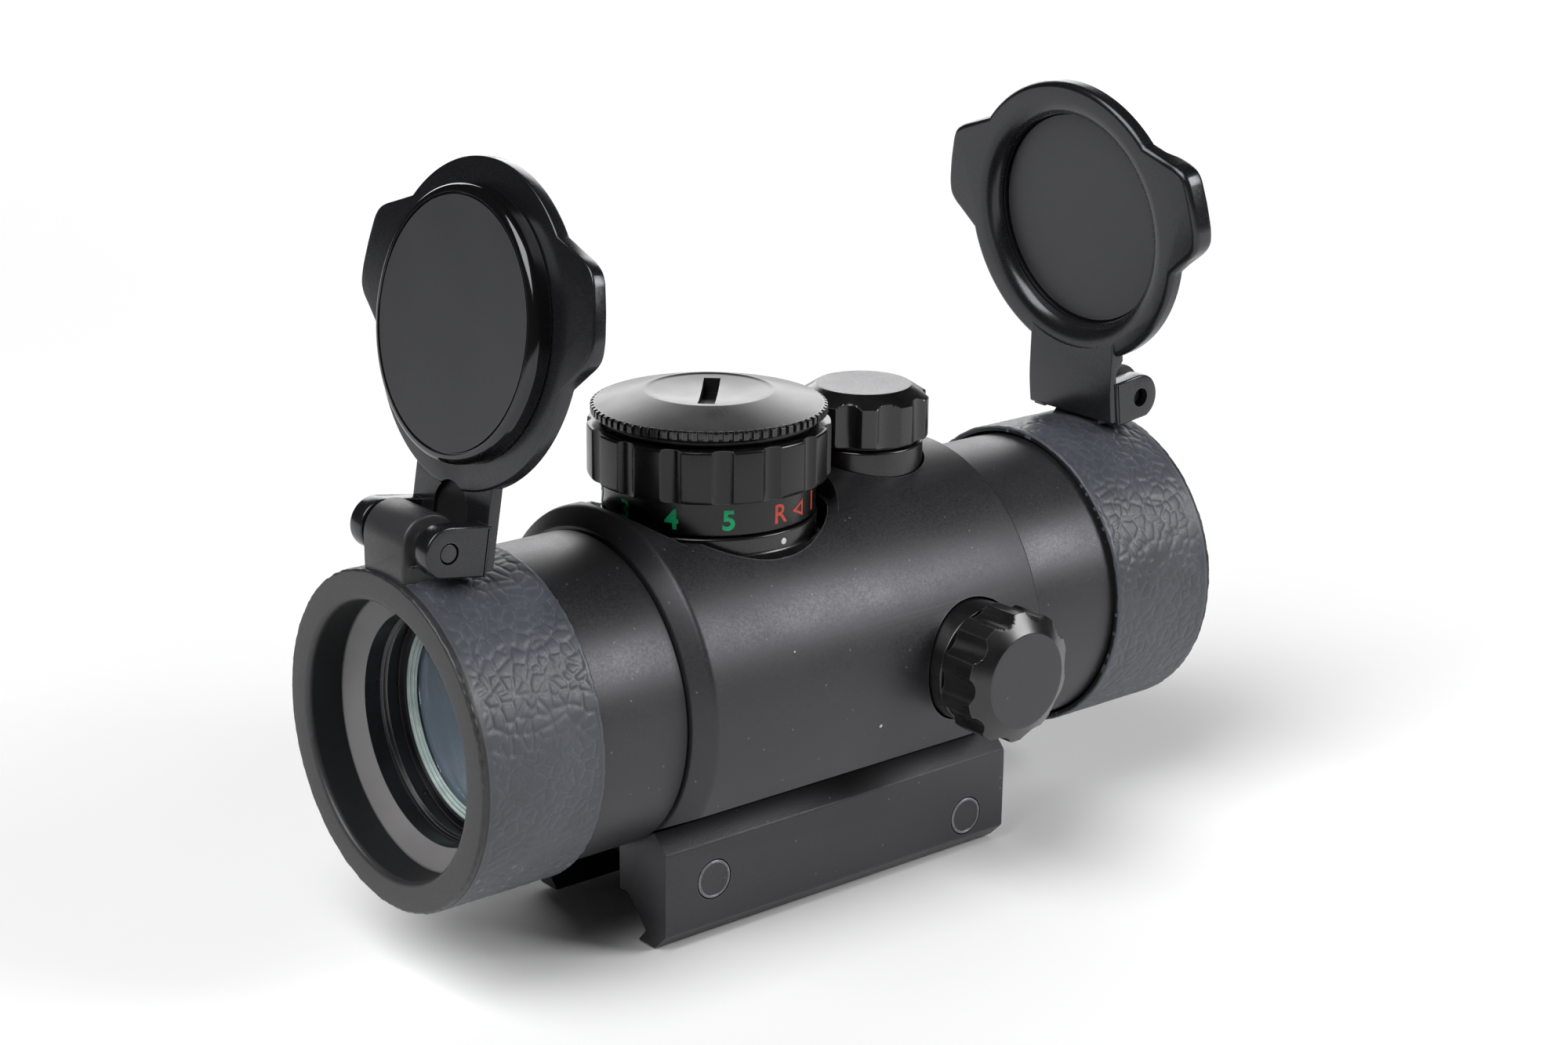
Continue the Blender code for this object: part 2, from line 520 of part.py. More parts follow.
def rail_mount():
    jaw = [(-15.8, 7.8), (-13.35, saddle(13.35)), (-6.0, saddle(6)), (-POST_Y, saddle(POST_Y)),
           (-POST_Y, 0.0), (-SEAT_Y, 0.0), (-11.5, -4.0), (-9.9, -5.8), (-13.5, -5.8), (-15.8, -3.5)]
    post = [(POST_Y, 0.0), (SEAT_Y, 0.0), (CLAMP_Y - GAP, 1.2), (CLAMP_Y - GAP, saddle(CLAMP_Y - GAP)),
            (6.0, saddle(6)), (POST_Y, saddle(6))]
    ground = along_x(z=0)
    mount = plate("rail_mount", jaw, -MOUNT_HALF, MOUNT_HALF, ground)
    join(mount, box("web", (-18, -POST_Y - 1, 0), (18, POST_Y + 1, saddle(0))),
         plate("far_post", post, -MOUNT_HALF, MOUNT_HALF, ground))
    clamp = plate("clamp_jaw", [
        (CLAMP_Y, saddle(CLAMP_Y)), (CLAMP_Y, -1.4), (10.7, -2.8), (8.0, -5.4), (11.7, -5.4), (13.9, -3.2),
        (13.9, 7.7), (12.0, saddle(12))], -MOUNT_HALF, MOUNT_HALF, ground)
    for piece in (mount, clamp):
        cut(piece, rod("front_tube_relief", FRONT_TUBE_R + GAP, BODY_FRONT, 40, along_x(), steps=ROUND))
    for where, (x, z) in SCREWS.items():
        place = along_y(x, 0, z)
        cut(mount, rod("screw_hole", CLAMP_SCREW_R + GAP, -20, 11, place))
        cut(clamp, rod("screw_hole", CLAMP_SCREW_R + GAP, 5, 18, place))
        screw = turned(f"clamp_screw_{where}", [
            (0, 17.6), (CLAMP_HEAD_R - 0.4, 17.6), (CLAMP_HEAD_R, 17.2), (CLAMP_HEAD_R, 14.2),
            (CLAMP_SCREW_R, 14.2), (CLAMP_SCREW_R, -15.8), (0, -15.8)], place, "steel", SMALL_ROUND)
        cut(screw, box("drive_slot", (-5, -0.6, 16.4), (5, 0.6, 19), place))
    for where, x in (("rear", -MOUNT_SCREW_X), ("front", MOUNT_SCREW_X)):
        place = upright(x, 0, 0)
        cut(mount,
            rod("head_hole", MOUNT_HEAD_HOLE_R, -1, 3.6, place),
            rod("shank_hole", MOUNT_HOLE_R, 3, 12, place, steps=TINY_ROUND))
        screw = turned(f"mount_screw_{where}", [
            (0, 8.0), (MOUNT_SCREW_R, 8.0), (MOUNT_SCREW_R, 3.3), (MOUNT_HEAD_R, 3.3), (MOUNT_HEAD_R, 0.8),
            (0, 0.8)], place, "steel", SMALL_ROUND)
        cut(screw, rod("socket", 1.2, 0, 2.2, place, steps=6))


PARTS = start()
main_body()
tubes()
rubber_ring("eyepiece_rubber_ring", RING_REAR_END, RING_REAR_FACE, -1, COVERS["eyepiece"]["pin_x"])
rubber_ring("objective_rubber_ring", RING_FRONT_END, RING_FRONT_FACE, 1, COVERS["objective"]["pin_x"])
for cover_name, cover_size in COVERS.items():
    cover(cover_name, cover_size)
    hinge(cover_name, cover_size["pin_x"], cover_size["direction"])
dial()
adjuster("elevation", upright(TURRET_X))
adjuster("windage", sideways(TURRET_X))
carrier()
rail_mount()

for piece in PARTS.objects:
    piece.data.shade_smooth()
    piece.data.set_sharp_from_angle(angle=math.radians(35))
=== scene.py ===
"""Looks of a tube red dot sight with flip-up lens covers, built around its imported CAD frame.

Lengths are millimetres until a helper turns them into metres. The tube's axis runs along X at height AXIS_Z, the
windage adjuster faces -Y, and profiles are (radius, height) pairs that run down the outer side of a turned shape.
"""

import math

import bmesh
import bpy
from mathutils import Matrix, Vector, noise


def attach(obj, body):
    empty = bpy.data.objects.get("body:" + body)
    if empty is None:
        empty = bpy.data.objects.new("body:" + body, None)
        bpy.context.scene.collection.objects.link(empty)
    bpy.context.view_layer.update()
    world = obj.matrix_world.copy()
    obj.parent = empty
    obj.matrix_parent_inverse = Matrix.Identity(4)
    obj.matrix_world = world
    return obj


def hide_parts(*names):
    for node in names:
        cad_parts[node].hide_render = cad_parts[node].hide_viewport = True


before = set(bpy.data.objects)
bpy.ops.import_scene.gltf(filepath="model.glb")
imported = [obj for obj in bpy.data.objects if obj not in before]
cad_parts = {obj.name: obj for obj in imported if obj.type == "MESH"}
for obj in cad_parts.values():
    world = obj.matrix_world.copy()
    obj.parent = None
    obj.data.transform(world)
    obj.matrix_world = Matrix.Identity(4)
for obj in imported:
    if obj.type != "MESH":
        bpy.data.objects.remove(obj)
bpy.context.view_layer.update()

MM = 0.001
AXIS_Z = 26.2
GAP = 0.3
DIAL_X, TURRET_X = -10.5, 16.1
BODY_R, SPIGOT_R = 23.6, 18.3
BODY_REAR, BODY_FRONT = -29.7, 28.0
REAR_TUBE_R, FRONT_TUBE_R = 20.65, 20.5
TUBE_MOUTH = -56.0  # rear end of the eyepiece tube, where the ring's lip starts
RING_R, RING_LIP_R = 21.75, 17.7
PIN_HEIGHT = 25.5
CLAMP_SCREWS = {"rear": (-21.85, 2.6), "front": (22.6, -0.3)}
MOUNT_HALF = 29.7
MOUNT_SCREW_X = 9.0

FINE, ROUND, SMALL = 240, 160, 64  # segments of the largest, large and small turned shapes

COVERS = {
    "eyepiece": {"direction": -1, "pin_x": -56.5, "lean": 9.3, "drop": 26.2, "plug": 2.2, "inner": 5.0,
                 "outer": 6.9, "rim": 7.6, "floor": 5.6, "arm_in": 5.3, "arm_out": 6.9, "neck_in": 5.3},
    "objective": {"direction": 1, "pin_x": 61.6, "lean": 6.75, "drop": 25.6, "plug": 0.6, "inner": 2.6,
                  "outer": 4.2, "rim": 4.7, "floor": 1.7, "arm_in": 4.4, "arm_out": 5.9, "neck_in": 2.9},
}
FLANGE_R, PLUG_R, RECESS_R = 20.2, 16.9, 15.5
TAB_TOP, TAB_LOW = (15.6, 12.83), (19.9, -3.5)
TAB_EDGE = [(23.4, -1.0), (24.5, 0.4), (24.6, 2.5), (24.0, 6.0), (23.1, 9.4), (22.3, 10.6), (20.8, 11.4)]


# ---------------------------------------------------------------- material building
class Nodes:
    """A short way to write a material's node tree around its Principled shader."""

    def __init__(self, name):
        self.material = bpy.data.materials.new(name)
        self.material.use_nodes = True
        self.tree = self.material.node_tree
        self.shader = self.tree.nodes["Principled BSDF"]
        self.coords = self.tree.nodes.new("ShaderNodeTexCoord").outputs["Object"]

    def add(self, kind, inputs=None, **settings):
        node = self.tree.nodes.new(kind)
        for key, value in settings.items():
            setattr(node, key, value)
        for key, value in (inputs or {}).items():
            self.put(value, node.inputs[key])
        return node

    def put(self, value, socket):
        if isinstance(value, bpy.types.NodeSocket):
            self.tree.links.new(value, socket)
        else:
            socket.default_value = value

    def set(self, **inputs):
        for key, value in inputs.items():
            self.put(value, self.shader.inputs[key.replace("_", " ")])

    def noise(self, scale, detail=3.0, rough=0.55, coords=None):
        return self.add("ShaderNodeTexNoise", {
            "Vector": coords or self.coords, "Scale": scale, "Detail": detail, "Roughness": rough}).outputs["Fac"]

    def cells(self, scale, feature="F1", coords=None, randomness=1.0):
        node = self.add("ShaderNodeTexVoronoi", {
            "Vector": coords or self.coords, "Scale": scale, "Randomness": randomness}, feature=feature)
        return node.outputs["Distance"]

    def ramp(self, value, low, high, to_low=0.0, to_high=1.0, smooth=False):
        return self.add("ShaderNodeMapRange", {
            "Value": value, "From Min": low, "From Max": high, "To Min": to_low, "To Max": to_high},
            interpolation_type="SMOOTHSTEP" if smooth else "LINEAR").outputs["Result"]

    def math(self, operation, a, b=0.0):
        node = self.add("ShaderNodeMath", operation=operation)
        self.put(a, node.inputs[0])
        self.put(b, node.inputs[1])
        return node.outputs[0]

    def mix(self, factor, a, b):
        node = self.add("ShaderNodeMix", data_type="RGBA")
        self.put(factor, node.inputs[0])
        self.put(a, node.inputs[6])
        self.put(b, node.inputs[7])
        return node.outputs[2]

    def bump(self, height, strength, distance, below=None):
        inputs = {"Height": height, "Strength": strength, "Distance": distance * MM}
        if below is not None:
            inputs["Normal"] = below
        return self.add("ShaderNodeBump", inputs).outputs["Normal"]

    def edges(self, reach=0.35):
        """1 along convex edges, 0 on flat stretches."""
        bevel = self.add("ShaderNodeBevel", {"Radius": reach * MM}, samples=4).outputs["Normal"]
        geometry = self.add("ShaderNodeNewGeometry").outputs["Normal"]
        dot = self.add("ShaderNodeVectorMath", {0: bevel, 1: geometry}, operation="DOT_PRODUCT").outputs["Value"]
        return self.ramp(dot, 0.985, 0.80)

    def specks(self, scale, share=0.03, size=0.09):
        """Rare small dots, 1 inside a dot: a few cells of a grid hold one each."""
        cell = self.add("ShaderNodeTexVoronoi", {"Vector": self.coords, "Scale": scale}, feature="F1")
        chosen = self.add("ShaderNodeSeparateColor", {"Color": cell.outputs["Color"]}).outputs[0]
        rare = self.math("LESS_THAN", chosen, share)
        small = self.math("LESS_THAN", cell.outputs["Distance"], size)
        return self.math("MULTIPLY", rare, small)


def shade(grey, tint=(1.0, 1.0, 1.0)):
    return (grey * tint[0], grey * tint[1], grey * tint[2], 1.0)


COOL = (0.97, 0.96, 1.04)
BLUE = (0.88, 0.97, 1.16)


def blasted(name, grey=0.013, rough=0.42, grain=1.0):
    """Bead-blasted black anodising: fine speckle, slight cloudiness, paler edges, a little dust."""
    n = Nodes(name)
    speckle = n.noise(2900, 3.0, 0.75)
    cloud = n.noise(70, 4.0, 0.6)
    tone = n.mix(n.ramp(speckle, 0.35, 0.68), shade(grey * 0.62, COOL), shade(grey * 1.5, COOL))
    tone = n.mix(n.ramp(cloud, 0.35, 0.7, 0.0, 0.22), tone, shade(grey * 1.7, COOL))
    tone = n.mix(n.math("MULTIPLY", n.edges(0.25), 0.35), tone, shade(0.20, COOL))
    tone = n.mix(n.specks(1100, 0.06, 0.16), tone, shade(0.10, COOL))
    tone = n.mix(n.specks(420, 0.014, 0.11), tone, shade(0.6))
    n.set(Base_Color=tone, Specular_IOR_Level=0.70, Specular_Tint=(0.94, 0.93, 1.0, 1.0))
    n.set(Roughness=n.math("ADD", n.ramp(speckle, 0.3, 0.7, -0.05, 0.07), n.ramp(cloud, 0.3, 0.7, rough - 0.03, rough + 0.05)))
    n.set(Normal=n.bump(speckle, 0.30 * grain, 0.022))
    return n.material


def bright_black(name, grey=0.005, rough=0.25, lines="Z", pitch=0.16, shine=0.65):
    """Turned and glossy anodised black with faint tool rings across the given axis."""
    n = Nodes(name)
    split = n.add("ShaderNodeSeparateXYZ", {"Vector": n.coords}).outputs[lines]
    wave = n.math("SINE", n.math("MULTIPLY", split, 2 * math.pi / (pitch * MM)))
    smear = n.noise(160, 3.0)
    tone = n.mix(n.ramp(smear, 0.3, 0.75), shade(grey * 0.8, COOL), shade(grey * 1.5, COOL))
    tone = n.mix(n.math("MULTIPLY", n.edges(0.2), 0.4), tone, shade(0.22, COOL))
    tone = n.mix(n.specks(520, 0.010, 0.09), tone, shade(0.6))
    n.set(Base_Color=tone, Specular_IOR_Level=shine)
    n.set(Roughness=n.ramp(smear, 0.3, 0.7, rough - 0.03, rough + 0.05))
    n.set(Normal=n.bump(n.noise(3000, 2.0), 0.05, 0.01, n.bump(wave, 0.05, 0.006)))
    return n.material


def lid_finish(name):
    """The battery lid's top: fine rings turned about its own centre, satin grey under light."""
    n = Nodes(name)
    middle = n.add("ShaderNodeMapping", {"Vector": n.coords, "Location": (-DIAL_X * MM, 0, 0)}).outputs["Vector"]
    parts = n.add("ShaderNodeSeparateXYZ", {"Vector": middle})
    square = n.math("ADD", n.math("POWER", parts.outputs["X"], 2.0), n.math("POWER", parts.outputs["Y"], 2.0))
    radius = n.math("SQRT", square)
    rings = n.math("SINE", n.math("MULTIPLY", radius, 2 * math.pi / (0.22 * MM)))
    smear = n.noise(180, 3.0)
    tone = n.mix(n.ramp(smear, 0.3, 0.75), shade(0.008, COOL), shade(0.016, COOL))
    tone = n.mix(n.math("MULTIPLY", n.edges(0.18), 0.5), tone, shade(0.22))
    n.set(Base_Color=tone, Specular_IOR_Level=0.66, Anisotropic=0.3)
    n.set(Roughness=n.ramp(smear, 0.3, 0.7, 0.27, 0.34))
    n.set(Normal=n.bump(rings, 0.10, 0.005))
    return n.material


def rubber(name, grey=0.030, rough=0.50, wear_and_sheen=0.5, tint=BLUE):
    """Dark blue-grey moulded rubber with fine grain and painted highlights: paler on the ridges of whatever shape
    carries it and in its creases, the creases partly as dust.
    """
    n = Nodes(name)
    grain = n.noise(2600, 3.0)
    cloud = n.noise(90, 4.0, 0.6)
    # Painted highlight: convex ridges, found by pointiness, are painted paler.
    ridge = n.ramp(n.add("ShaderNodeNewGeometry").outputs["Pointiness"], 0.505, 0.60)
    tone = n.mix(n.ramp(cloud, 0.3, 0.7), shade(grey * 0.85, tint), shade(grey * 1.4, tint))
    # Painted highlight, partly dust: the creases between pebbles, found by pointiness, are painted paler.
    crease = n.ramp(n.add("ShaderNodeNewGeometry").outputs["Pointiness"], 0.496, 0.455)
    tone = n.mix(n.math("MULTIPLY", crease, wear_and_sheen * 0.9), tone, shade(grey * 4.6, tint))
    tone = n.mix(n.math("MULTIPLY", ridge, wear_and_sheen), tone, shade(grey * 4.0, tint))
    tone = n.mix(n.specks(380, 0.015, 0.09), tone, shade(0.5))
    n.set(Base_Color=tone, Specular_IOR_Level=0.5)
    n.set(Roughness=n.math("ADD", n.ramp(grain, 0.3, 0.7, -0.05, 0.06), n.ramp(cloud, 0.3, 0.7, rough - 0.04, rough + 0.05)))
    n.set(Normal=n.bump(grain, 0.14, 0.02))
    return n.material


def moulded(name, grey=0.022, rough=0.36, texture=1.0, tint=COOL):
    """Injection-moulded black plastic with a faint orange peel, flow marks and pale rubbed edges."""
    n = Nodes(name)
    peel = n.noise(900, 3.0)
    fine = n.noise(4200, 2.0)
    cloud = n.noise(45, 3.0)
    tone = n.mix(n.ramp(cloud, 0.3, 0.7), shade(grey * 0.85, tint), shade(grey * 1.25, tint))
    tone = n.mix(n.math("MULTIPLY", n.edges(0.2), 0.25), tone, shade(0.16, tint))
    tone = n.mix(n.specks(330, 0.014, 0.07), tone, shade(0.5))
    n.set(Base_Color=tone, Specular_IOR_Level=0.57, Specular_Tint=(0.94, 0.95, 1.0, 1.0))
    n.set(Roughness=n.math("ADD", n.ramp(fine, 0.3, 0.7, -0.04, 0.05), n.ramp(cloud, 0.3, 0.7, rough - 0.03, rough + 0.04)))
    n.set(Normal=n.bump(fine, 0.10 * texture, 0.01, n.bump(peel, 0.06 * texture, 0.03)))
    return n.material


def metal(name, colour, rough=0.32, scale=900):
    """Bare metal with fine scratches and patches of duller surface."""
    n = Nodes(name)
    long = n.add("ShaderNodeMapping", {"Vector": n.coords, "Scale": (1.0, 1.0, 12.0)}).outputs["Vector"]
    scratch = n.noise(scale, 3.0, coords=long)
    patch = n.noise(220, 3.0)
    dark = tuple(c * 0.7 for c in colour) + (1.0,)
    n.set(Base_Color=n.mix(n.ramp(patch, 0.3, 0.7), dark, (*colour, 1.0)), Metallic=1.0)
    n.set(Roughness=n.math("ADD", n.ramp(scratch, 0.3, 0.7, -0.06, 0.10), n.ramp(patch, 0.3, 0.7, rough, rough + 0.1)))
    n.set(Normal=n.bump(scratch, 0.12, 0.01))
    return n.material


def painted_reflection_ring(name):
    """A painted reflection of the window's bevelled glass edge and its rings: pale, slightly green, in thin concentric
    lines.
    """
    n = Nodes(name)
    smear = n.noise(300, 3.0)
    middle = n.add("ShaderNodeMapping", {"Vector": n.coords, "Location": (0, 0, -AXIS_Z * MM)})
    parts = n.add("ShaderNodeSeparateXYZ", {"Vector": middle.outputs["Vector"]})
    square = n.math("ADD", n.math("POWER", parts.outputs["Y"], 2.0), n.math("POWER", parts.outputs["Z"], 2.0))
    lines = n.math("SINE", n.math("MULTIPLY", n.math("SQRT", square), 2 * math.pi / (0.42 * MM)))
    tone = n.mix(n.ramp(smear, 0.3, 0.7), (0.40, 0.50, 0.47, 1.0), (0.62, 0.72, 0.69, 1.0))
    tone = n.mix(n.ramp(lines, 0.1, 0.7, 0.0, 0.75), tone, (0.10, 0.14, 0.14, 1.0))
    n.set(Base_Color=tone, Specular_IOR_Level=0.8)
    n.set(Roughness=n.ramp(smear, 0.3, 0.7, 0.18, 0.3), Normal=n.bump(smear, 0.05, 0.01))
    return n.material


def coated_glass(name, tint):
    """Clear glass with a faint coating colour, smudges and dust."""
    n = Nodes(name)
    smudge = n.noise(120, 3.0)
    n.set(Base_Color=n.mix(n.ramp(smudge, 0.3, 0.7), tint, tuple(min(1.0, c * 1.06) for c in tint[:3]) + (1.0,)))
    n.set(Transmission_Weight=0.80, IOR=1.62, Specular_Tint=(0.86, 0.95, 1.0, 1.0))
    n.set(Roughness=n.ramp(smudge, 0.45, 0.8, 0.0, 0.03))
    n.set(Normal=n.bump(smudge, 0.002, 0.01))
    return n.material


def paint(name, colour):
    """Silk-printed enamel in the dial's figures."""
    n = Nodes(name)
    chalk = n.noise(2600, 3.0)
    dull = tuple(c * 0.72 for c in colour) + (1.0,)
    n.set(Base_Color=n.mix(n.ramp(chalk, 0.35, 0.7), dull, (*colour, 1.0)), Specular_IOR_Level=0.4)
    n.set(Roughness=n.ramp(chalk, 0.3, 0.7, 0.42, 0.6), Normal=n.bump(chalk, 0.1, 0.01))
    return n.material


def board_finish(name):
    """Green solder mask with darker traces under it."""
    n = Nodes(name)
    tracks = n.cells(700, "F1", randomness=0.2)
    n.set(Base_Color=n.mix(n.ramp(tracks, 0.3, 0.36), shade(0.02, (0.6, 4.0, 1.5)), shade(0.035, (0.8, 4.4, 1.8))))
    n.set(Roughness=n.ramp(n.noise(900), 0.3, 0.7, 0.3, 0.5), Normal=n.bump(tracks, 0.2, 0.03))
    return n.material


def glow(name):
    """The emitter's red resin."""
    n = Nodes(name)
    swirl = n.noise(1500, 2.0)
    n.set(Base_Color=n.mix(swirl, (0.35, 0.01, 0.01, 1.0), (0.75, 0.05, 0.03, 1.0)))
    n.set(Roughness=n.ramp(swirl, 0.3, 0.7, 0.12, 0.25), Coat_Weight=0.6)
    n.set(Normal=n.bump(swirl, 0.05, 0.01))
    return n.material


LOOK = {
    "body": blasted("blasted_black"),
    "mount": blasted("blasted_black_mount", 0.013, 0.42, 1.2),
    "sawn": blasted("grainy_black_bevel", 0.007, 0.46, 4.0),
    "bore": bright_black("bore_black", 0.003, 0.28, "X", 0.5),
    "mouth": moulded("mouth_grey", 0.15, 0.34, 0.4, (1.02, 0.99, 0.99)),
    "turned": bright_black("turned_black"),
    "grip": bright_black("grip_black", 0.004, 0.25, shine=0.42),
    "turned_side": bright_black("turned_black_side", 0.007, 0.26, "Y"),
    "wear_and_sheen": blasted("worn_edge", 0.16, 0.36, 2.0),
    "cap_face": blasted("cap_face_black", 0.012, 0.36, 0.8),
    "lid": lid_finish("lid_turned_black"),
    "rubber": rubber("ring_rubber", 0.050, 0.43, 0.55),
    "smooth_rubber": rubber("smooth_ring_rubber", 0.020, 0.42, 0.3, COOL),
    # Painted shade: a near-black copy of the ring rubber for the rings' inner faces and pin holes.
    "painted_shade_rubber": rubber("ring_rubber_painted_shade", 0.004, 0.50, 0.1),
    "cover": moulded("cover_plastic", 0.008, 0.23, 0.8, (0.95, 0.97, 1.10)),
    "plug": moulded("plug_plastic", 0.005, 0.09, 0.1),
    "plug_face": moulded("plug_face_plastic", 0.025, 0.42, 1.3, (0.97, 0.97, 1.10)),
    "plain": moulded("plain_plastic", 0.03, 0.5),
    "seal": moulded("seal_rubber", 0.008, 0.45, 0.6),
    "steel": metal("spring_steel", (0.62, 0.62, 0.63), 0.22),
    "dark_steel": blasted("dark_steel", 0.014, 0.36, 1.4),
    "brass": metal("turned_brass", (0.62, 0.46, 0.20), 0.30),
    # Painted reflection for the small ring just before the eyepiece window.
    "pale": painted_reflection_ring("painted_glass_reflection"),
    "glass": coated_glass("window_glass", (0.56, 0.68, 0.80, 1.0)),
    "lens": coated_glass("lens_glass", (0.80, 0.92, 0.90, 1.0)),
    "green": paint("figures_green", (0.0, 0.42, 0.16)),
    "red": paint("figures_red", (0.62, 0.075, 0.04)),
    "white": paint("index_white", (0.85, 0.85, 0.85)),
    "board": board_finish("circuit_board"),
    "lamp": glow("red_emitter"),
}


# ---------------------------------------------------------------- placing and mesh helpers
def frame_at(origin, x, y, z):
    """A placement whose local axes are x, y and z, with its origin given in millimetres."""
    matrix = Matrix((x, y, z)).transposed().to_4x4()
    matrix.translation = Vector(origin) * MM
    return matrix


def along_x(x=0.0, y=0.0, z=AXIS_Z):
    return frame_at((x, y, z), (0, 1, 0), (0, 0, 1), (1, 0, 0))


def along_y(x, y, z):
    return frame_at((x, y, z), (0, 0, 1), (1, 0, 0), (0, 1, 0))


def upright(x=0.0, y=0.0, z=AXIS_Z):
    return frame_at((x, y, z), (1, 0, 0), (0, 1, 0), (0, 0, 1))


def sideways(x):
    """Local Z runs out of the windage side, along world -Y."""
    return frame_at((x, 0, AXIS_Z), (1, 0, 0), (0, 0, 1), (0, -1, 0))


def link(name, mesh, place, look):
    """An object whose place is in its vertices, so that textures see world positions."""
    mesh.transform(place)
    obj = bpy.data.objects.new(name, mesh)
    bpy.context.scene.collection.objects.link(obj)
    if look:
        mesh.materials.append(LOOK[look])
    return obj


def from_bmesh(name, work, place, look):
    mesh = bpy.data.meshes.new(name)
    bmesh.ops.recalc_face_normals(work, faces=work.faces)
    work.to_mesh(mesh)
    work.free()
    return link(name, mesh, place, look)


def arc(centre, radius, start, end, count):
    """Points along an arc, angles in degrees."""
    angles = (math.radians(start + (end - start) * i / (count - 1)) for i in range(count))
    return [(centre[0] + radius * math.cos(a), centre[1] + radius * math.sin(a)) for a in angles]


def rounded(points, radii, closed=True, steps=4):
    """The outline with each corner replaced by a smooth bend of its radius. radii is one number or one each."""
    count = len(points)
    if not isinstance(radii, (list, tuple)):
        radii = [radii] * count
    out = []
    for i, (point, radius) in enumerate(zip(points, radii)):
        here = Vector(point)
        if radius <= 0 or (not closed and i in (0, count - 1)):
            out.append(tuple(here))
            continue
        back = Vector(points[i - 1]) - here
        ahead = Vector(points[(i + 1) % count]) - here
        reach = min(radius, back.length * 0.48, ahead.length * 0.48)
        start, end = here + back.normalized() * reach, here + ahead.normalized() * reach
        for k in range(steps + 1):
            t = k / steps
            out.append(tuple(start * (1 - t) ** 2 + here * 2 * t * (1 - t) + end * t ** 2))
    return out


def turned(name, profile, place, look, steps=ROUND, shape=None):
    """A solid of revolution about local Z. The profile is closed round a ring, or runs from axis to axis.
    shape(angle, radius, height) may return another radius."""
    work = bmesh.new()
    on_axis = profile[0][0] < 1e-9
    rows = []
    for radius, height in profile:
        if radius < 1e-9:
            rows.append([work.verts.new((0, 0, height * MM))])
            continue
        row = []
        for i in range(steps):
            angle = 2 * math.pi * i / steps
            r = shape(angle, radius, height) if shape else radius
            row.append(work.verts.new((r * math.cos(angle) * MM, r * math.sin(angle) * MM, height * MM)))
        rows.append(row)
    pairs = list(zip(rows, rows[1:])) if on_axis else list(zip(rows, rows[1:] + rows[:1]))
    for upper, lower in pairs:
        for i in range(steps):
            j = (i + 1) % steps
            if len(upper) == 1:
                work.faces.new((upper[0], lower[i], lower[j]))
            elif len(lower) == 1:
                work.faces.new((upper[i], lower[0], upper[j]))
            else:
                work.faces.new((upper[i], lower[i], lower[j], upper[j]))
    return from_bmesh(name, work, place, look)


def plate(name, outline, low, high, place, look, bevel=0.0, segments=3):
    """A flat outline thickened from low to high along local Z, with its rims rounded."""
    work = bmesh.new()
    bottom = [work.verts.new((x * MM, y * MM, low * MM)) for x, y in outline]
    top = [work.verts.new((x * MM, y * MM, high * MM)) for x, y in outline]
    floor = work.faces.new(bottom)
    lid = work.faces.new(top)
    for i in range(len(outline)):
        j = (i + 1) % len(outline)
        work.faces.new((bottom[i], bottom[j], top[j], top[i]))
    bmesh.ops.recalc_face_normals(work, faces=work.faces)
    if bevel > 0:
        rims = list(set(floor.edges) | set(lid.edges))
        bmesh.ops.bevel(work, geom=rims, offset=bevel * MM, segments=segments, profile=0.5, affect="EDGES",
                        clamp_overlap=True)
    return from_bmesh(name, work, place, look)


def box(name, low, high, place, look, bevel=0.0):
    (x0, y0, z0), (x1, y1, z1) = low, high
    return plate(name, [(x0, y0), (x1, y0), (x1, y1), (x0, y1)], z0, z1, place, look, bevel)


def rod(name, radius, low, high, place, look, steps=SMALL, bevel=0.1):
    b = min(bevel, radius * 0.4)
    profile = rounded([(0, high), (radius, high), (radius, low), (0, low)], [0, b, b, 0], closed=False)
    return turned(name, profile, place, look, steps)


def tube(name, points, radius, place, look, sides=12):
    """A round wire through the points."""
    curve = bpy.data.curves.new(name, "CURVE")
    curve.dimensions = "3D"
    curve.bevel_depth = radius * MM
    curve.bevel_resolution = sides // 4
    curve.use_fill_caps = True
    spline = curve.splines.new("POLY")
    spline.points.add(len(points) - 1)
    for point, co in zip(spline.points, points):
        point.co = (*(Vector(co) * MM), 1.0)
    holder = bpy.data.objects.new(name + "_path", curve)
    bpy.context.scene.collection.objects.link(holder)
    bpy.context.view_layer.update()
    mesh = bpy.data.meshes.new_from_object(holder.evaluated_get(bpy.context.evaluated_depsgraph_get()))
    bpy.data.objects.remove(holder, do_unlink=True)
    work = bmesh.new()
    work.from_mesh(mesh)
    bmesh.ops.remove_doubles(work, verts=work.verts, dist=1e-7)
    return from_bmesh(name, work, place, look)


def settle(obj):
    """Applies the object's modifiers."""
    bpy.context.view_layer.update()
    graph = bpy.context.evaluated_depsgraph_get()
    mesh = bpy.data.meshes.new_from_object(obj.evaluated_get(graph))
    obj.modifiers.clear()
    obj.data = mesh
    return obj


def combine(obj, others, operation):
    for other in others:
        modifier = obj.modifiers.new(operation.lower(), "BOOLEAN")
        modifier.operation = operation
        modifier.solver = "EXACT"
        modifier.object = other
        modifier.material_mode = "TRANSFER"
    settle(obj)
    for other in others:
        bpy.data.objects.remove(other, do_unlink=True)
    return obj


def cut(obj, *others):
    return combine(obj, others, "DIFFERENCE")


def join(obj, *others):
    return combine(obj, others, "UNION")


def smooth(obj, angle=32):
    obj.data.shade_smooth()
    obj.data.set_sharp_from_angle(angle=math.radians(angle))
    return obj


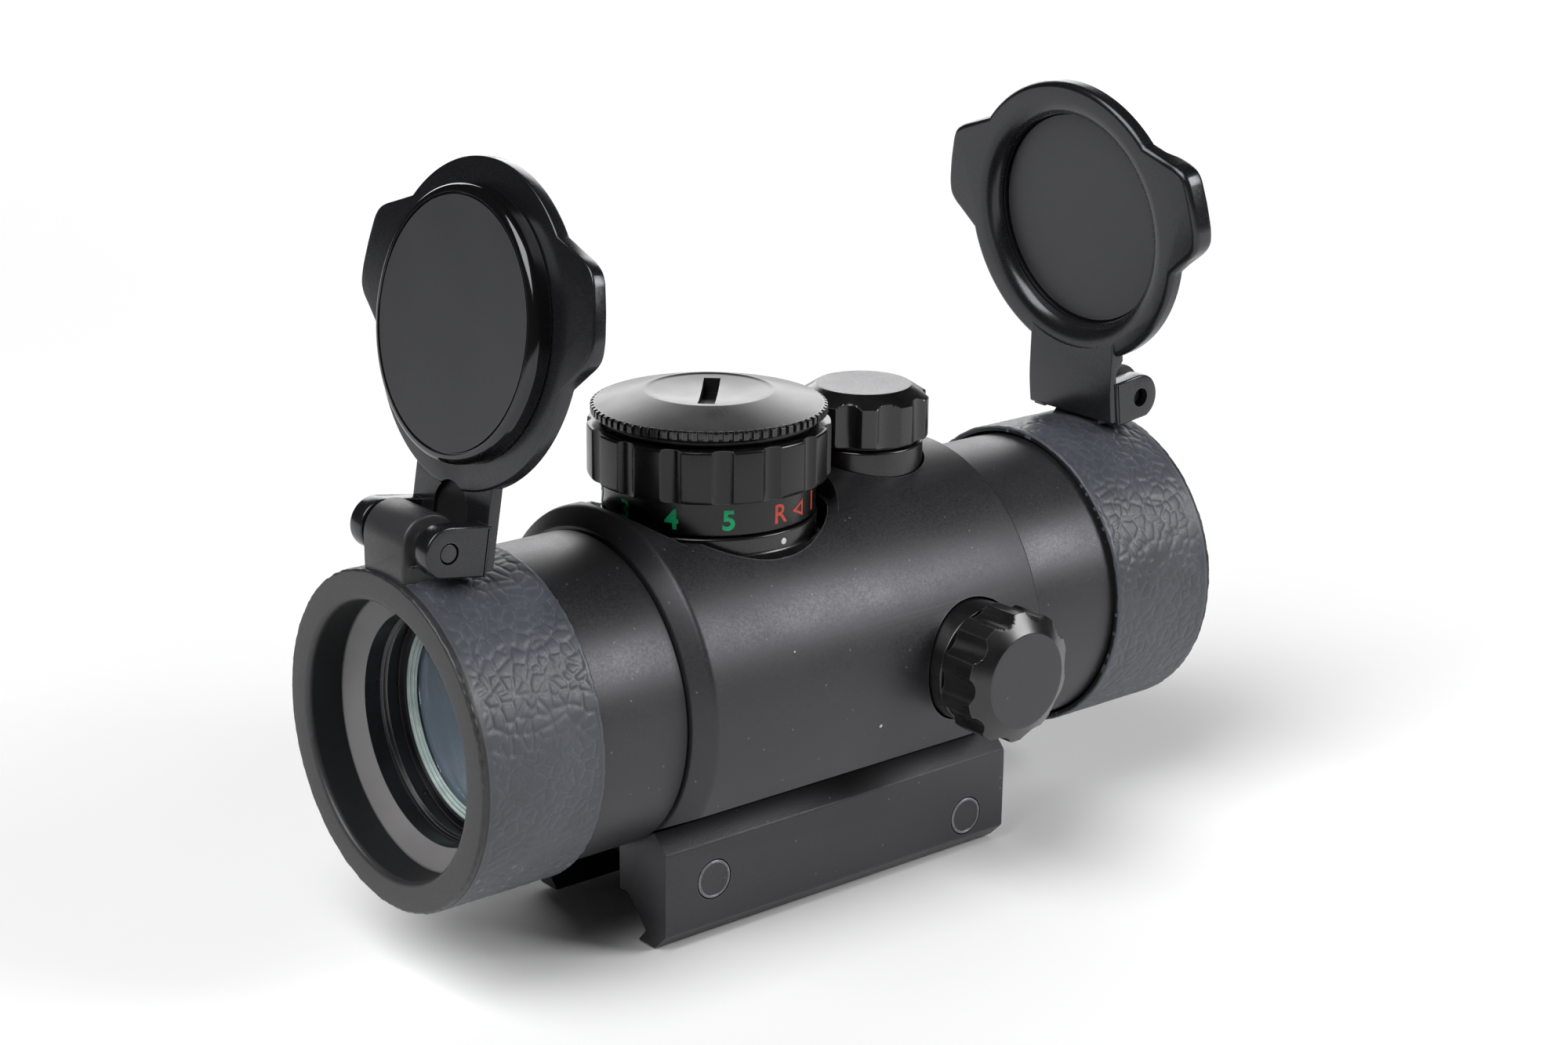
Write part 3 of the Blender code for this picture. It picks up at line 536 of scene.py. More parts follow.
def mount_piece(obj, body, slot, *nodes, angle=32):
    """Finishes a piece: smooth shading, its body and the CAD nodes that it stands for. The slot argument is not used.
    """
    smooth(obj, angle)
    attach(obj, body)
    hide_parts(*nodes)
    return obj


def repaint(obj, look, test):
    """Gives the faces for which test(centre, normal), in millimetres, is true another material."""
    obj.data.materials.append(LOOK[look])
    index = len(obj.data.materials) - 1
    for face in obj.data.polygons:
        if test(face.center / MM, face.normal):
            face.material_index = index
    return obj


# ---------------------------------------------------------------- housing
def main_body():
    """The round body with its flat-sided underside, rear chamfer and the holes of dial and turrets."""
    profile = rounded([
        (SPIGOT_R, BODY_FRONT), (BODY_R, BODY_FRONT), (BODY_R, BODY_REAR + 1.95), (REAR_TUBE_R + 0.45, BODY_REAR),
        (SPIGOT_R, BODY_REAR), (SPIGOT_R, -24.5), (17.9, -24.1), (17.9, 24.1), (SPIGOT_R, 24.5)],
        [0.15, 0.35, 0.5, 0.2, 0.1, 0, 0, 0, 0])
    body = turned("main_body_shell", profile, along_x(), "body", FINE)
    side, flat = (20.35, -12.0), (6.0, -19.3)
    below = [(-side[0], side[1]), (-flat[0], flat[1]), flat, side, (30, -12), (30, -40), (-30, -40), (-30, -12)]
    cut(body,
        plate("underside_cutter", below, -40, 40, along_x(), "sawn"),
        turned("dial_pocket", [(0, 30), (15.6, 30), (15.6, 5), (0, 5)], upright(DIAL_X), "turned"),
        turned("dial_seat", [(0, 30), (16.9, 30), (16.9, 20.55), (0, 20.55)], upright(DIAL_X), "body"),
        turned("elevation_pocket", [(0, 30), (8.5, 30), (8.5, 5), (0, 5)], upright(TURRET_X), "turned", SMALL),
        turned("windage_pocket", [(0, 30), (8.5, 30), (8.5, 5), (0, 5)], sideways(TURRET_X), "turned_side", SMALL))
    mount_piece(body, "housing", "anodised_black", "main_body")


def grooved_bore(start, end, radius, pitch=0.75, depth=0.22):
    """Profile points of a threaded-looking bore running from start to end."""
    count = int(abs(end - start) / pitch)
    step = (end - start) / count
    points = []
    for i in range(count):
        at = start + step * i
        points += [(radius, at), (radius, at + step * 0.3), (radius + depth, at + step * 0.65)]
    return [*points, (radius, end)]


def tubes():
    """The eyepiece tube with its stepped, grooved mouth, and the plain objective tube."""
    rear = rounded([(SPIGOT_R - GAP, -24.9), (SPIGOT_R - GAP, BODY_REAR - GAP), (REAR_TUBE_R, BODY_REAR - GAP),
                    (REAR_TUBE_R, TUBE_MOUTH), (17.65, TUBE_MOUTH), (15.0, TUBE_MOUTH + 1.6)], [0, 0, 0.2, 0.3, 0.1, 0])
    bore = [(15.0, -52.1), (14.6, -51.9), (14.9, -51.6), (14.55, -51.3), (15.0, -51.0), (15.0, -49.3), (14.1, -49.0),
            (14.0, -48.75), (13.8, -48.7), (13.75, -48.5), (13.4, -48.45), (13.35, -48.2), (12.95, -48.15),
            (12.9, -47.9), (15.3, -47.9), (15.3, -42.4), (16.8, -41.6), (16.8, -24.9)]
    eyepiece = turned("eyepiece_tube_shell", [*rear, *bore], along_x(), "body", FINE)
    repaint(eyepiece, "mouth", lambda c, n: c.x < -54.2 and n.x < -0.4)
    repaint(eyepiece, "bore", lambda c, n: math.hypot(c.y, c.z - AXIS_Z) < 16.9 and c.x > -54.4)
    # Painted reflection: the small ridged ring just before the window is painted pale green in place of the glass's
    # reflections.
    repaint(eyepiece, "pale", lambda c, n: math.hypot(c.y, c.z - AXIS_Z) < 13.95 and -48.8 < c.x < -47.95)
    mount_piece(eyepiece, "housing", "anodised_black", "eyepiece_tube", angle=28)
    front = rounded([(FRONT_TUBE_R, 58.15), (FRONT_TUBE_R, BODY_FRONT + GAP), (SPIGOT_R - GAP, BODY_FRONT + GAP),
                     (SPIGOT_R - GAP, 24.9), (16.8, 24.9)], [0.3, 0.2, 0, 0, 0])
    mouth = [(16.8, 44.0), *grooved_bore(46.0, 56.6, 16.75, 0.75, 0.25), (17.1, 57.0), (17.3, 58.15)]
    objective = turned("objective_tube_shell", [*front, *mouth], along_x(), "body", FINE)
    repaint(objective, "bore", lambda c, n: math.hypot(c.y, c.z - AXIS_Z) < 17.4 and c.x < 58.0)
    mount_piece(objective, "housing", "anodised_black", "objective_tube", angle=28)


def pebble(point):
    """Height of the moulded rubber pattern at a world point in millimetres, from 0 in a crease to 1 on a pebble."""
    place = Vector(point) / 1.8
    place += noise.noise_vector(place * 0.5) * 0.35
    near, _ = noise.voronoi(place)
    ridge = min(1.0, (near[1] - near[0]) * 2.7)
    return ridge * (2 - ridge)


def rubber_ring(name, end, face, direction, pin_x, seed):
    """A rubber ring whose outside is pebbled in the mesh, with its hinge block and a thin ragged flash."""
    length = abs(face - end)
    rows = 84
    outside = [(RING_R, length - 0.6 - (length - 1.4) * i / rows) for i in range(rows + 1)]
    lip = 5.1 if direction < 0 else 5.4
    profile = [*rounded([(20.95, length), (RING_R - 0.1, length), (RING_R, length - 0.5)], [0, 0.35, 0]),
               *outside, *rounded([(RING_R, 0.75), (RING_R - 0.15, 0.0), (RING_LIP_R, 0.0),
                                   (RING_LIP_R + 0.1, lip), (20.95, lip)], [0.3, 0.75, 0.8, 0.1, 0.1], steps=6)]
    if direction > 0:
        profile = [(r, -h) for r, h in reversed(profile)]
    place = along_x(face)

    def skin(angle, radius, height):
        """Pebbles on the outside, and a thin uneven flash along both of the ring's outer edges."""
        depth = abs(height)
        world = place @ Vector((radius * math.cos(angle) * MM, radius * math.sin(angle) * MM, height * MM)) / MM
        world += Vector((seed, 0, 0))
        if radius < RING_R - 0.4:
            return radius
        if depth < 0.4 or depth > length - 0.4:
            return radius + 0.12 * noise.noise(world * 0.9) + 0.05 * noise.noise(world * 3.1)
        fade = min(1.0, max(0.0, (depth - 1.2) / 0.9)) * min(1.0, max(0.0, (length - 0.5 - depth) / 0.5))
        swell = 0.05 * noise.noise(world * 0.25)
        depth_here = 0.13 + 0.05 * noise.noise(world * 0.16)
        return radius - 0.02 + min(0.0, swell) - depth_here * fade * (1 - pebble(world))

    ring = turned(name, profile, place, "rubber", 560, skin)
    repaint(ring, "smooth_rubber", lambda c, n: abs(c.x - face) < 0.9)
    # Painted shade: the ring's inner faces, away from its front face, take the near-black copy of the rubber.
    repaint(ring, "painted_shade_rubber", lambda c, n: math.hypot(c.y, c.z - AXIS_Z) < 21.2 and abs(c.x - face) > 0.7)
    radius, half = 3.96, 4.4
    front = min(radius, abs(face - pin_x) - 0.1)
    start = -math.degrees(math.acos(front / radius))
    block = [(-radius - 1.2, -4.6), (-radius, -3.2), *reversed(arc((0, 0), radius, start, 180, 26)), (front, -4.6)]
    height = AXIS_Z + PIN_HEIGHT
    spot = frame_at((pin_x, 0, height), (direction, 0, 0), (0, 0, 1), (0, -direction, 0))
    # The pin hole's faces take the near-black painted shade rubber too.
    pin = rod("pin_hole", 1.35, -12, 12, along_y(pin_x, 0, height), "painted_shade_rubber", 32)
    join(ring, plate("hinge_block", block, -half, half, spot, "smooth_rubber", 0.35))
    cut(ring, pin)
    mount_piece(ring, "housing", "ring_rubber", "eyepiece_rubber_ring" if direction < 0 else "objective_rubber_ring",
                angle=50)


# ---------------------------------------------------------------- flip covers
def cover_place(size):
    """An open cover's placement: X across, Y from the pin to the middle, Z out of the cover's outer side."""
    direction, tilt = size["direction"], math.radians(size["lean"])
    across = (0, -direction, 0)
    up = (-direction * math.sin(tilt), 0, math.cos(tilt))
    out = (-direction * math.cos(tilt), 0, -math.sin(tilt))
    return frame_at((size["pin_x"], 0, AXIS_Z + PIN_HEIGHT), across, up, out)


def flange_outline(drop):
    """A disc with a finger tab at each side, its corners softened."""
    low, high = (math.degrees(math.atan2(y, x)) for x, y in (TAB_LOW, TAB_TOP))
    edge = rounded([TAB_LOW, *TAB_EDGE, TAB_TOP], [0.9] * (len(TAB_EDGE) + 2), closed=False, steps=3)
    right = [*arc((0, 0), FLANGE_R, -90, low - 1.5, 40)[1:], *edge[1:-1], *arc((0, 0), FLANGE_R, high + 1.5, 90, 32)]
    left = [(-x, y) for x, y in reversed(right[:-1])]
    return [(x, y + drop) for x, y in [(0.0, -FLANGE_R), *right, *left]]


def cover_shell(name, size, place, middle):
    """The flange with its tabs and rim: crowned and thick-edged on the front cover, flat with a rim on the rear."""
    inner, outer, rim = size["inner"], size["outer"], size["rim"]
    outline = flange_outline(size["drop"])
    root = outer - 0.7
    if size["direction"] < 0:
        shell = plate(f"{name}_cover_shell", outline, inner, outer, place, "cover", 0.3, 5)
        ring = rounded([(RECESS_R + 0.55, rim), (FLANGE_R - 1.3, rim), (FLANGE_R - 0.35, root),
                        (RECESS_R - 0.5, root)], [0.6, 0.9, 0, 0], steps=7)
        return shell, [turned("rim", ring, middle, "cover", ROUND)]
    shell = plate(f"{name}_cover_shell", outline, 1.2, rim, place, "cover", 1.25, 7)
    room = [(0, inner), (21.5, inner), (24.0, 1.2), (24.0, -2), (0, -2)]
    cut(shell, turned("closing_room", room, middle, "cover", ROUND))
    return shell, []


def recess_profile(size):
    """The opening round the disc: straight in the rear cover, widening in a soft bend to the front cover's rim."""
    if size["direction"] < 0:
        return [(0, 14), (RECESS_R - 0.2, 14), (RECESS_R - 0.2, 0), (0, 0)]
    wide, deep, rim = 2.9, 2.1, size["rim"]
    bend = [(RECESS_R - 0.2 + wide * (1 - math.cos(math.radians(a))), rim + 0.02 - deep * (1 - math.sin(math.radians(a))))
            for a in range(90, -1, -10)]
    return [(0, 14), (bend[0][0], 14), *bend, (RECESS_R - 0.2, 0), (0, 0)]


def plug_profile(size):
    """The plug disc: a matte face in a fine groove, a bold rounded glossy rim and a straight wall."""
    plug, seat, floor, bend = size["plug"], size["inner"] - 0.25, size["floor"], 1.15
    crest = [(PLUG_R - bend + bend * math.sin(math.radians(a)), plug + bend - bend * math.cos(math.radians(a)))
             for a in range(90, -1, -9)]
    return [(0, floor), (RECESS_R - 0.6, floor), (RECESS_R - 0.3, floor - 0.3), (RECESS_R - 0.3, seat), (PLUG_R, seat),
            *crest, (PLUG_R - bend - 0.12, plug + 0.35), (PLUG_R - bend - 0.26, plug + 0.35),
            (PLUG_R - bend - 0.34, plug + 0.08), (0, plug + 0.08)]


def cover(name, size):
    """One flip cover: a frame with rim, arm and ears, and the glossy plug disc in it."""
    place = cover_place(size)
    middle = place @ Matrix.Translation((0, size["drop"] * MM, 0))
    rim, arm_in, arm_out = size["rim"], size["arm_in"], size["arm_out"]
    rear = size["direction"] < 0
    shell, pieces = cover_shell(name, size, place, middle)
    side = place @ Matrix(((0, 0, 1, 0), (0, 1, 0, 0), (-1, 0, 0, 0), (0, 0, 0, 1)))
    neck, top, low = size["neck_in"], 9.0 if rear else 10.6, -2.5
    arm = rounded([(arm_in, low), (arm_out, low), (arm_out, 1.5), (min(arm_out, rim - 0.03), top), (neck, top), (neck, 6.3),
                   (arm_in, 4.6)], [0.2, 0.5, 2.0, 0.5, 0, 0, 0.5], steps=5)
    pieces.append(plate("arm", [(-n, t) for n, t in arm], -8.2, 8.2, side, "cover", 0.35 if rear else 0.7, 5))
    ear = [*arc((0, 0), 3.3, 90, 250, 28), (arm_in + 0.5, -3.1), (arm_in + 0.5, 3.3)]
    for low_y, high_y in ((-8.5, -5.9), (5.9, 8.5)):
        pieces.append(plate("ear", [(-n, t) for n, t in ear], low_y, high_y, side, "cover", 0.28, 3))
    join(shell, *pieces)
    cutters = [turned("recess", recess_profile(size), middle, "cover", ROUND),
               rod("pin_hole", 1.35, -12, 12, side, "cover", 32)]
    for y in (-8.5, 8.5):
        cutters.append(box("ear_seam", (-arm_in - 0.12, -3.6, y - 0.22), (-arm_in + 0.1, 3.0, y + 0.22), side, "seal"))
    if rear:
        hollow = [(-3.6, -1.6), *reversed(arc((0, 3.4), 3.6, 0, 180, 20)), (3.6, -1.6)]
        cutters.append(plate("pocket", hollow, arm_in - 1.0, arm_in + 0.7, place, "seal"))
    cut(shell, *cutters)
    mount_piece(shell, f"{name}_cover", "cover_plastic", f"{name}_cover_frame", angle=38)
    disc = turned(f"{name}_cover_plug", plug_profile(size), middle, "plug", FINE)
    back = place.inverted()

    def flat(centre, normal):
        local = back @ (centre * MM) / MM
        return math.hypot(local.x, local.y - size["drop"]) < PLUG_R - 1.4 and abs((back.to_3x3() @ normal).z) > 0.9

    repaint(disc, "plug_face", flat)
    mount_piece(disc, f"{name}_cover", "plug_plastic", f"{name}_cover_disc", angle=40)


def hinge(name, size):
    """The pin with its domed ends, and the torsion spring with its one leg."""
    direction, pin_x, height = size["direction"], size["pin_x"], AXIS_Z + PIN_HEIGHT
    reach = 8.4 if direction < 0 else 7.2
    pin = rod(f"{name}_pin", 1.15, -reach, reach, along_y(pin_x, 0, height), "dark_steel", 40, 0.15)
    mount_piece(pin, "housing", "black_steel", f"{name}_hinge_pin")
    place = frame_at((pin_x, 0, height), (0, 0, -1), (-1, 0, 0), (0, 1, 0))
    turns, radius, start, pitch = 2.0, 2.05, -4.72, -0.44
    count = 48
    coil = [(radius * math.cos(2 * math.pi * turns * i / count), radius * math.sin(2 * math.pi * turns * i / count),
             start + pitch * turns * i / count) for i in range(count + 1)]
    legs = [(radius, -direction * 3.0, start)]
    spring = tube(f"{name}_spring", [*legs, *coil], 0.2, place, "steel")
    mount_piece(spring, "housing", "steel", f"{name}_torsion_spring", angle=60)


# ---------------------------------------------------------------- brightness dial
def figure(text, angle, height, size, look, name):
    """A flat printed figure wrapped round the number ring at the given angle in degrees."""
    curve = bpy.data.curves.new(name, "FONT")
    curve.body = text
    curve.size = size * MM
    curve.align_x = "CENTER"
    curve.align_y = "CENTER"
    curve.offset = (0.10 if look == "green" else 0.045) * MM
    holder = bpy.data.objects.new(name + "_text", curve)
    bpy.context.scene.collection.objects.link(holder)
    bpy.context.view_layer.update()
    mesh = bpy.data.meshes.new_from_object(holder.evaluated_get(bpy.context.evaluated_depsgraph_get()))
    bpy.data.objects.remove(holder, do_unlink=True)
    return wrap(name, mesh, angle, height, look)


def wrap(name, mesh, angle, height, look, radius=14.03, depth=0.02):
    """Bends a flat mesh round the dial and gives it the thickness of a coat of paint."""
    work = bmesh.new()
    work.from_mesh(mesh)
    bmesh.ops.remove_doubles(work, verts=work.verts, dist=1e-7)
    bmesh.ops.triangulate(work, faces=work.faces)
    faces = bmesh.ops.extrude_face_region(work, geom=list(work.faces))["geom"]
    raised = {v for v in faces if isinstance(v, bmesh.types.BMVert)}
    centre = math.radians(angle)
    for vert in work.verts:
        r = radius + (depth if vert in raised else -depth)
        turn = centre + vert.co.x / MM / radius
        vert.co = (r * math.cos(turn) * MM, r * math.sin(turn) * MM, height * MM + vert.co.y)
    return from_bmesh(name, work, upright(DIAL_X), look)


def triangle(name, angle, height, look):
    """An open triangle pointing back along the ring, as on an arrow mark."""
    work = bmesh.new()
    outer = [(-1.35, 0.0), (1.0, -1.1), (1.0, 1.1)]
    inside = [(-0.62, 0.0), (0.66, -0.6), (0.66, 0.6)]
    loops = [[work.verts.new((x * MM, y * MM, 0)) for x, y in loop] for loop in (outer, inside)]
    for i in range(3):
        j = (i + 1) % 3
        work.faces.new((loops[0][i], loops[0][j], loops[1][j], loops[1][i]))
    bmesh.ops.subdivide_edges(work, edges=work.edges, cuts=2, use_grid_fill=True)
    mesh = bpy.data.meshes.new(name)
    work.to_mesh(mesh)
    work.free()
    return wrap(name, mesh, angle, height, look)


def dial():
    """Fixed base with its index dot, number ring, fluted grip, seal ring and knurled battery lid."""
    place = upright(DIAL_X)
    base = turned("dial_base_ring", rounded([
        (10.3, 24.2), (11.6, 24.2), (11.6, 20.7), (14.2, 20.7), (14.2, 18.3), (15.4, 17.6), (15.4, 15.5), (10.3, 15.5)],
        [0, 0.1, 0.1, 0.35, 0.4, 0.2, 0, 0]), place, "turned", ROUND)
    join(base, rod("base_floor", 10.6, 17.2, 18.4, place, "turned", SMALL))
    mount_piece(base, "housing", "turned_black", "dial_base")
    out = (math.cos(math.radians(-86)), math.sin(math.radians(-86)), 0)
    spot = frame_at((DIAL_X + 14.2 * out[0], 14.2 * out[1], AXIS_Z + 19.35), (-out[1], out[0], 0), (0, 0, 1), out)
    dot = turned("index_dot", rounded([(0, 0.05), (0.42, 0.05), (0.42, -0.1), (0, -0.1)], [0, 0.04, 0, 0],
                                      closed=False), spot, "white", 32)
    smooth(dot)
    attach(dot, "housing")

    flutes, first, centre_r, flute_r = 15, math.radians(-98), 17.25, 2.0

    def fluted(angle, radius, height):
        if height < 25.2 or radius < 13.2:
            return radius
        pitch = 2 * math.pi / flutes
        off = (angle - first + pitch / 2) % pitch - pitch / 2
        inside = flute_r ** 2 - (centre_r * math.sin(off)) ** 2
        if inside <= 0:
            return radius
        floor = centre_r * math.cos(off) - math.sqrt(inside)
        return min(radius, max(floor, 13.2))

    grip = turned("dial_grip", rounded([
        (12.6, 32.6), (15.9, 32.6), (15.9, 25.6), (14.0, 25.55), (14.0, 21.0), (11.9, 21.0), (11.9, 24.6), (2.2, 24.6),
        (2.2, 26.2), (12.6, 26.2)], [0.2, 0.45, 0.7, 0, 0.2, 0, 0, 0, 0, 0]), place, "grip", 1080, fluted)
    mount_piece(grip, "dial", "turned_black", "brightness_dial", angle=24)
    marks = [("R", -90, "red"), ("1", -60, "red"), ("2", -30, "red"), ("3", 0, "red"), ("4", 30, "red"),
             ("5", 60, "red"), ("G", 90, "green"), ("1", 120, "green"), ("2", 150, "green"), ("3", 180, "green"),
             ("4", -150, "green"), ("5", -120, "green")]
    for text, angle, look in marks:
        number = figure(text, angle + 2, 22.95, 3.6, look, f"figure_{look}_{text}")
        smooth(number)
        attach(number, "dial")
    for angle, look in ((-73.5, "red"), (106.5, "green")):
        arrow = triangle(f"arrow_{look}", angle, 22.95, look)
        smooth(arrow)
        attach(arrow, "dial")

    seal = turned("lid_seal_ring", list(reversed(arc((13.9, 33.2), 0.42, 0, 345, 24))), place, "seal", ROUND)
    mount_piece(seal, "lid_seal", "seal_rubber", "battery_cover_o_ring")
    battery_lid(place)


def battery_lid(place):
    """A shallow cone round a dished middle with a coin slot, its edge cut with fine straight knurls."""
    teeth, rim_low, rim_high = 74, 33.85, 34.95

    def knurled(angle, radius, height):
        if radius < 15.0 or not rim_low - 0.1 < height < rim_high + 0.1:
            return radius
        phase = (angle * teeth / (2 * math.pi)) % 1.0
        return radius - (0.55 if phase > 0.5 else 0.0)

    profile = rounded([(0, 35.95), (4.0, 36.05), (7.9, 36.5), (8.4, 36.7), (15.05, rim_high), (15.4, rim_high - 0.15),
                       (15.4, rim_low), (14.9, 33.8), (12.3, 33.75), (12.3, 31.4), (11.0, 31.4), (11.0, 33.0),
                       (0, 33.0)], [0, 2.0, 0.6, 0.3, 0.1, 0.1, 0.1, 0.1, 0, 0, 0, 0, 0], closed=False)
    lid = turned("battery_lid", profile, place, "lid", teeth * 12, knurled)
    slot = place @ Matrix.Rotation(math.radians(48), 4, "Z")
    cut(lid, box("coin_slot", (-6.5, -1.1, 34.3), (6.5, 1.1, 40), slot, "seal"))
    repaint(lid, "turned", lambda c, n: c.z - AXIS_Z < rim_high + 0.02)
    mount_piece(lid, "battery_lid", "turned_black", "battery_cover", angle=24)


# ---------------------------------------------------------------- adjusters
def adjuster(name, place, look):
    """Turret neck, cap seal and fluted cap of one adjuster. Local Z runs outwards."""
    neck = turned(f"{name}_neck", rounded([
        (3.3, 30.4), (6.2, 30.4), (6.2, 25.6), (8.2, 25.6), (8.2, 17.2), (3.3, 17.2)],
        [0, 0.3, 0, 0.35, 0, 0]), place, look, 96)
    mount_piece(neck, "housing", "turned_black", f"{name}_turret")
    seal = turned(f"{name}_seal_ring", list(reversed(arc((7.4, 25.9), 0.27, 0, 345, 24))), place, "seal", 96)
    mount_piece(seal, f"{name}_seal", "seal_rubber", f"{name}_cap_seal")
    flutes, centre_r, flute_r = 10, 10.65, 2.6

    def fluted(angle, radius, height):
        if radius < 6.7 or height > 33.1:
            return radius
        pitch = 2 * math.pi / flutes
        off = (angle + pitch / 2) % pitch - pitch / 2
        inside = flute_r ** 2 - (centre_r * math.sin(off)) ** 2
        if inside <= 0:
            return radius
        return min(radius, centre_r * math.cos(off) - math.sqrt(inside))

    cone = [(8.9 - 2.45 * i / 10, 31.6 + 1.6 * i / 10) for i in range(10, 0, -1)]
    profile = [(0, 33.2), (3.0, 33.2), (5.6, 33.2), *rounded([(5.9, 33.2), *cone[:1], cone[1]], [0, 0.25, 0], closed=False),
               *cone[2:], *rounded([(8.9, 31.6), (8.9, 26.2), (6.5, 26.2), (6.5, 31.5), (0, 31.5)],
                                   [0.3, 0.35, 0.2, 0, 0], closed=False)]
    cap = turned(f"{name}_cap_shell", profile, place, look, 360, fluted)
    out = (place.to_3x3() @ Vector((0, 0, 1))).normalized()
    repaint(cap, "cap_face", lambda c, n: n.dot(out) > 0.95)
    mount_piece(cap, f"{name}_lid", "turned_black", f"{name}_cap", angle=26)


# ---------------------------------------------------------------- rail mount
def saddle(y):
    """Height over the seat of the mount's top at y, just clear of the body's underside."""
    return AXIS_Z - 19.3 + (7.3 / 14.35) * max(abs(y) - 6.0, 0) - 0.34


def rail_mount():
    """The near jaw with its bevelled top and hooked foot, the web, the far jaw and all screws."""
    ground = along_x(z=0)
    jaw = rounded([
        (-15.8, 7.8), (-13.35, saddle(13.35)), (-5.9, saddle(5.9)), (-5.9, 0.0), (-7.8, 0.0), (-11.5, -4.0),
        (-9.9, -5.8), (-13.5, -5.8), (-15.8, -3.5)], [0.3, 0.15, 0, 0, 0.15, 0.2, 0.35, 0.35, 0.3])
    post = [(5.9, 0.0), (7.8, 0.0), (9.0, 1.2), (9.0, saddle(9.0)), (6.0, saddle(6)), (5.9, saddle(6))]
    mount = plate("rail_mount_shell", jaw, -MOUNT_HALF, MOUNT_HALF, ground, "mount", 0.28)
    join(mount, box("web", (-18, -6.9, 0), (18, 6.9, saddle(0)), upright(z=0), "mount", 0.0),
         plate("far_post", post, -MOUNT_HALF, MOUNT_HALF, ground, "mount", 0.2))
    repaint(mount, "sawn", lambda c, n: c.y < -12.9 and n.z > 0.3 and n.y < 0.2 and c.z > 5)
    clamp = plate("clamp_jaw_shell", rounded([
        (9.3, saddle(9.3)), (9.3, -1.4), (10.7, -2.8), (8.0, -5.4), (11.7, -5.4), (13.9, -3.2), (13.9, 7.7),
        (12.0, saddle(12))], [0.1, 0.1, 0.1, 0.35, 0.3, 0.3, 0.35, 0.2]), -MOUNT_HALF, MOUNT_HALF, ground, "mount", 0.28)
    for piece in (mount, clamp):
        relief = turned("tube_relief", [(0, 40), (20.8, 40), (20.8, 28.0), (0, 28.0)], along_x(), "sawn", ROUND)
        holes = [rod("screw_hole", 2.78, -20, 20, along_y(x, 0, z), "seal", 48) for x, z in CLAMP_SCREWS.values()]
        cut(piece, relief, *holes)
    for x in (-MOUNT_SCREW_X, MOUNT_SCREW_X):
        cut(mount, rod("head_hole", 3.0, -1, 3.6, upright(x, z=0), "seal", 48),
            rod("shank_hole", 1.8, 3, 12, upright(x, z=0), "seal", 32))
    mount_piece(mount, "housing", "anodised_black", "rail_mount")
    mount_piece(clamp, "jaw", "anodised_black", "clamp_jaw")
    for where, (x, z) in CLAMP_SCREWS.items():
        place = along_y(x, 0, z)
        profile = rounded([(0, 17.6), (4.0, 17.6), (4.0, 14.2), (2.62, 14.2), (2.62, -15.8), (2.35, -15.95),
                           (2.2, -15.8), (0, -15.78)], [0, 0.5, 0.15, 0, 0.05, 0.05, 0.1, 0], closed=False)
        screw = turned(f"clamp_screw_{where}_turned", profile, place, "dark_steel", SMALL)
        repaint(screw, "wear_and_sheen", lambda c, n: c.y < -15.75 and 2.22 < math.hypot(c.x - x, c.z - z) < 2.6)
        cut(screw, box("slot", (-5, -0.6, 16.4), (5, 0.6, 19), place, "seal"))
        mount_piece(screw, f"{where}_screw", "black_steel", f"clamp_screw_{where}")
    for where, x in (("rear", -MOUNT_SCREW_X), ("front", MOUNT_SCREW_X)):
        place = upright(x, z=0)
        profile = rounded([(0, 8.0), (1.5, 8.0), (1.5, 3.3), (2.7, 3.3), (2.7, 0.8), (0, 0.8)],
                          [0, 0.2, 0, 0.1, 0.3, 0], closed=False)
        screw = turned(f"mount_screw_{where}_turned", profile, place, "dark_steel", 48)
        cut(screw, turned("socket", [(0, 2.2), (1.2, 2.2), (1.2, 0), (0, 0)], place, "seal", 6))
        mount_piece(screw, "housing", "black_steel", f"mount_screw_{where}")


# ---------------------------------------------------------------- optics
def optics():
    """The eyepiece window with its ring, and the objective lens with its ring."""
    hollow = [(14.3 * i / 12, -45.75 - 1.95 * (i / 12) ** 2) for i in range(12, -1, -1)]
    window = turned("window_glass_disc", [(0, -45.4), (14.8, -45.4), (15.0, -45.6), (15.0, -47.7), *hollow], along_x(),
                    "glass", ROUND)
    mount_piece(window, "housing", "coated_glass", "eyepiece_window")
    ring = turned("window_ring", rounded([(13.6, -42.8), (15.0, -42.8), (15.0, -45.1), (13.6, -45.1)],
                                         [0.3, 0.1, 0.1, 0.3]), along_x(), "mouth", ROUND)
    mount_piece(ring, "housing", "anodised_black", "eyepiece_retaining_ring")
    curve = [(14.1 * i / 12, 37.4 - 1.0 * (i / 12) ** 2) for i in range(13)]
    under = [(14.1 * i / 12, 34.9 - 0.7 * (i / 12) ** 2) for i in range(12, -1, -1)]
    lens = turned("lens_glass_disc", [*curve, *under], along_x(), "lens", ROUND)
    mount_piece(lens, "carrier", "coated_glass", "objective_lens")
    ring = turned("lens_ring", rounded([(12.9, 39.8), (14.1, 39.8), (14.1, 37.4), (12.9, 37.4)],
                                       [0.3, 0.1, 0.1, 0.3]), along_x(), "mouth", ROUND)
    mount_piece(ring, "carrier", "anodised_black", "objective_retaining_ring")


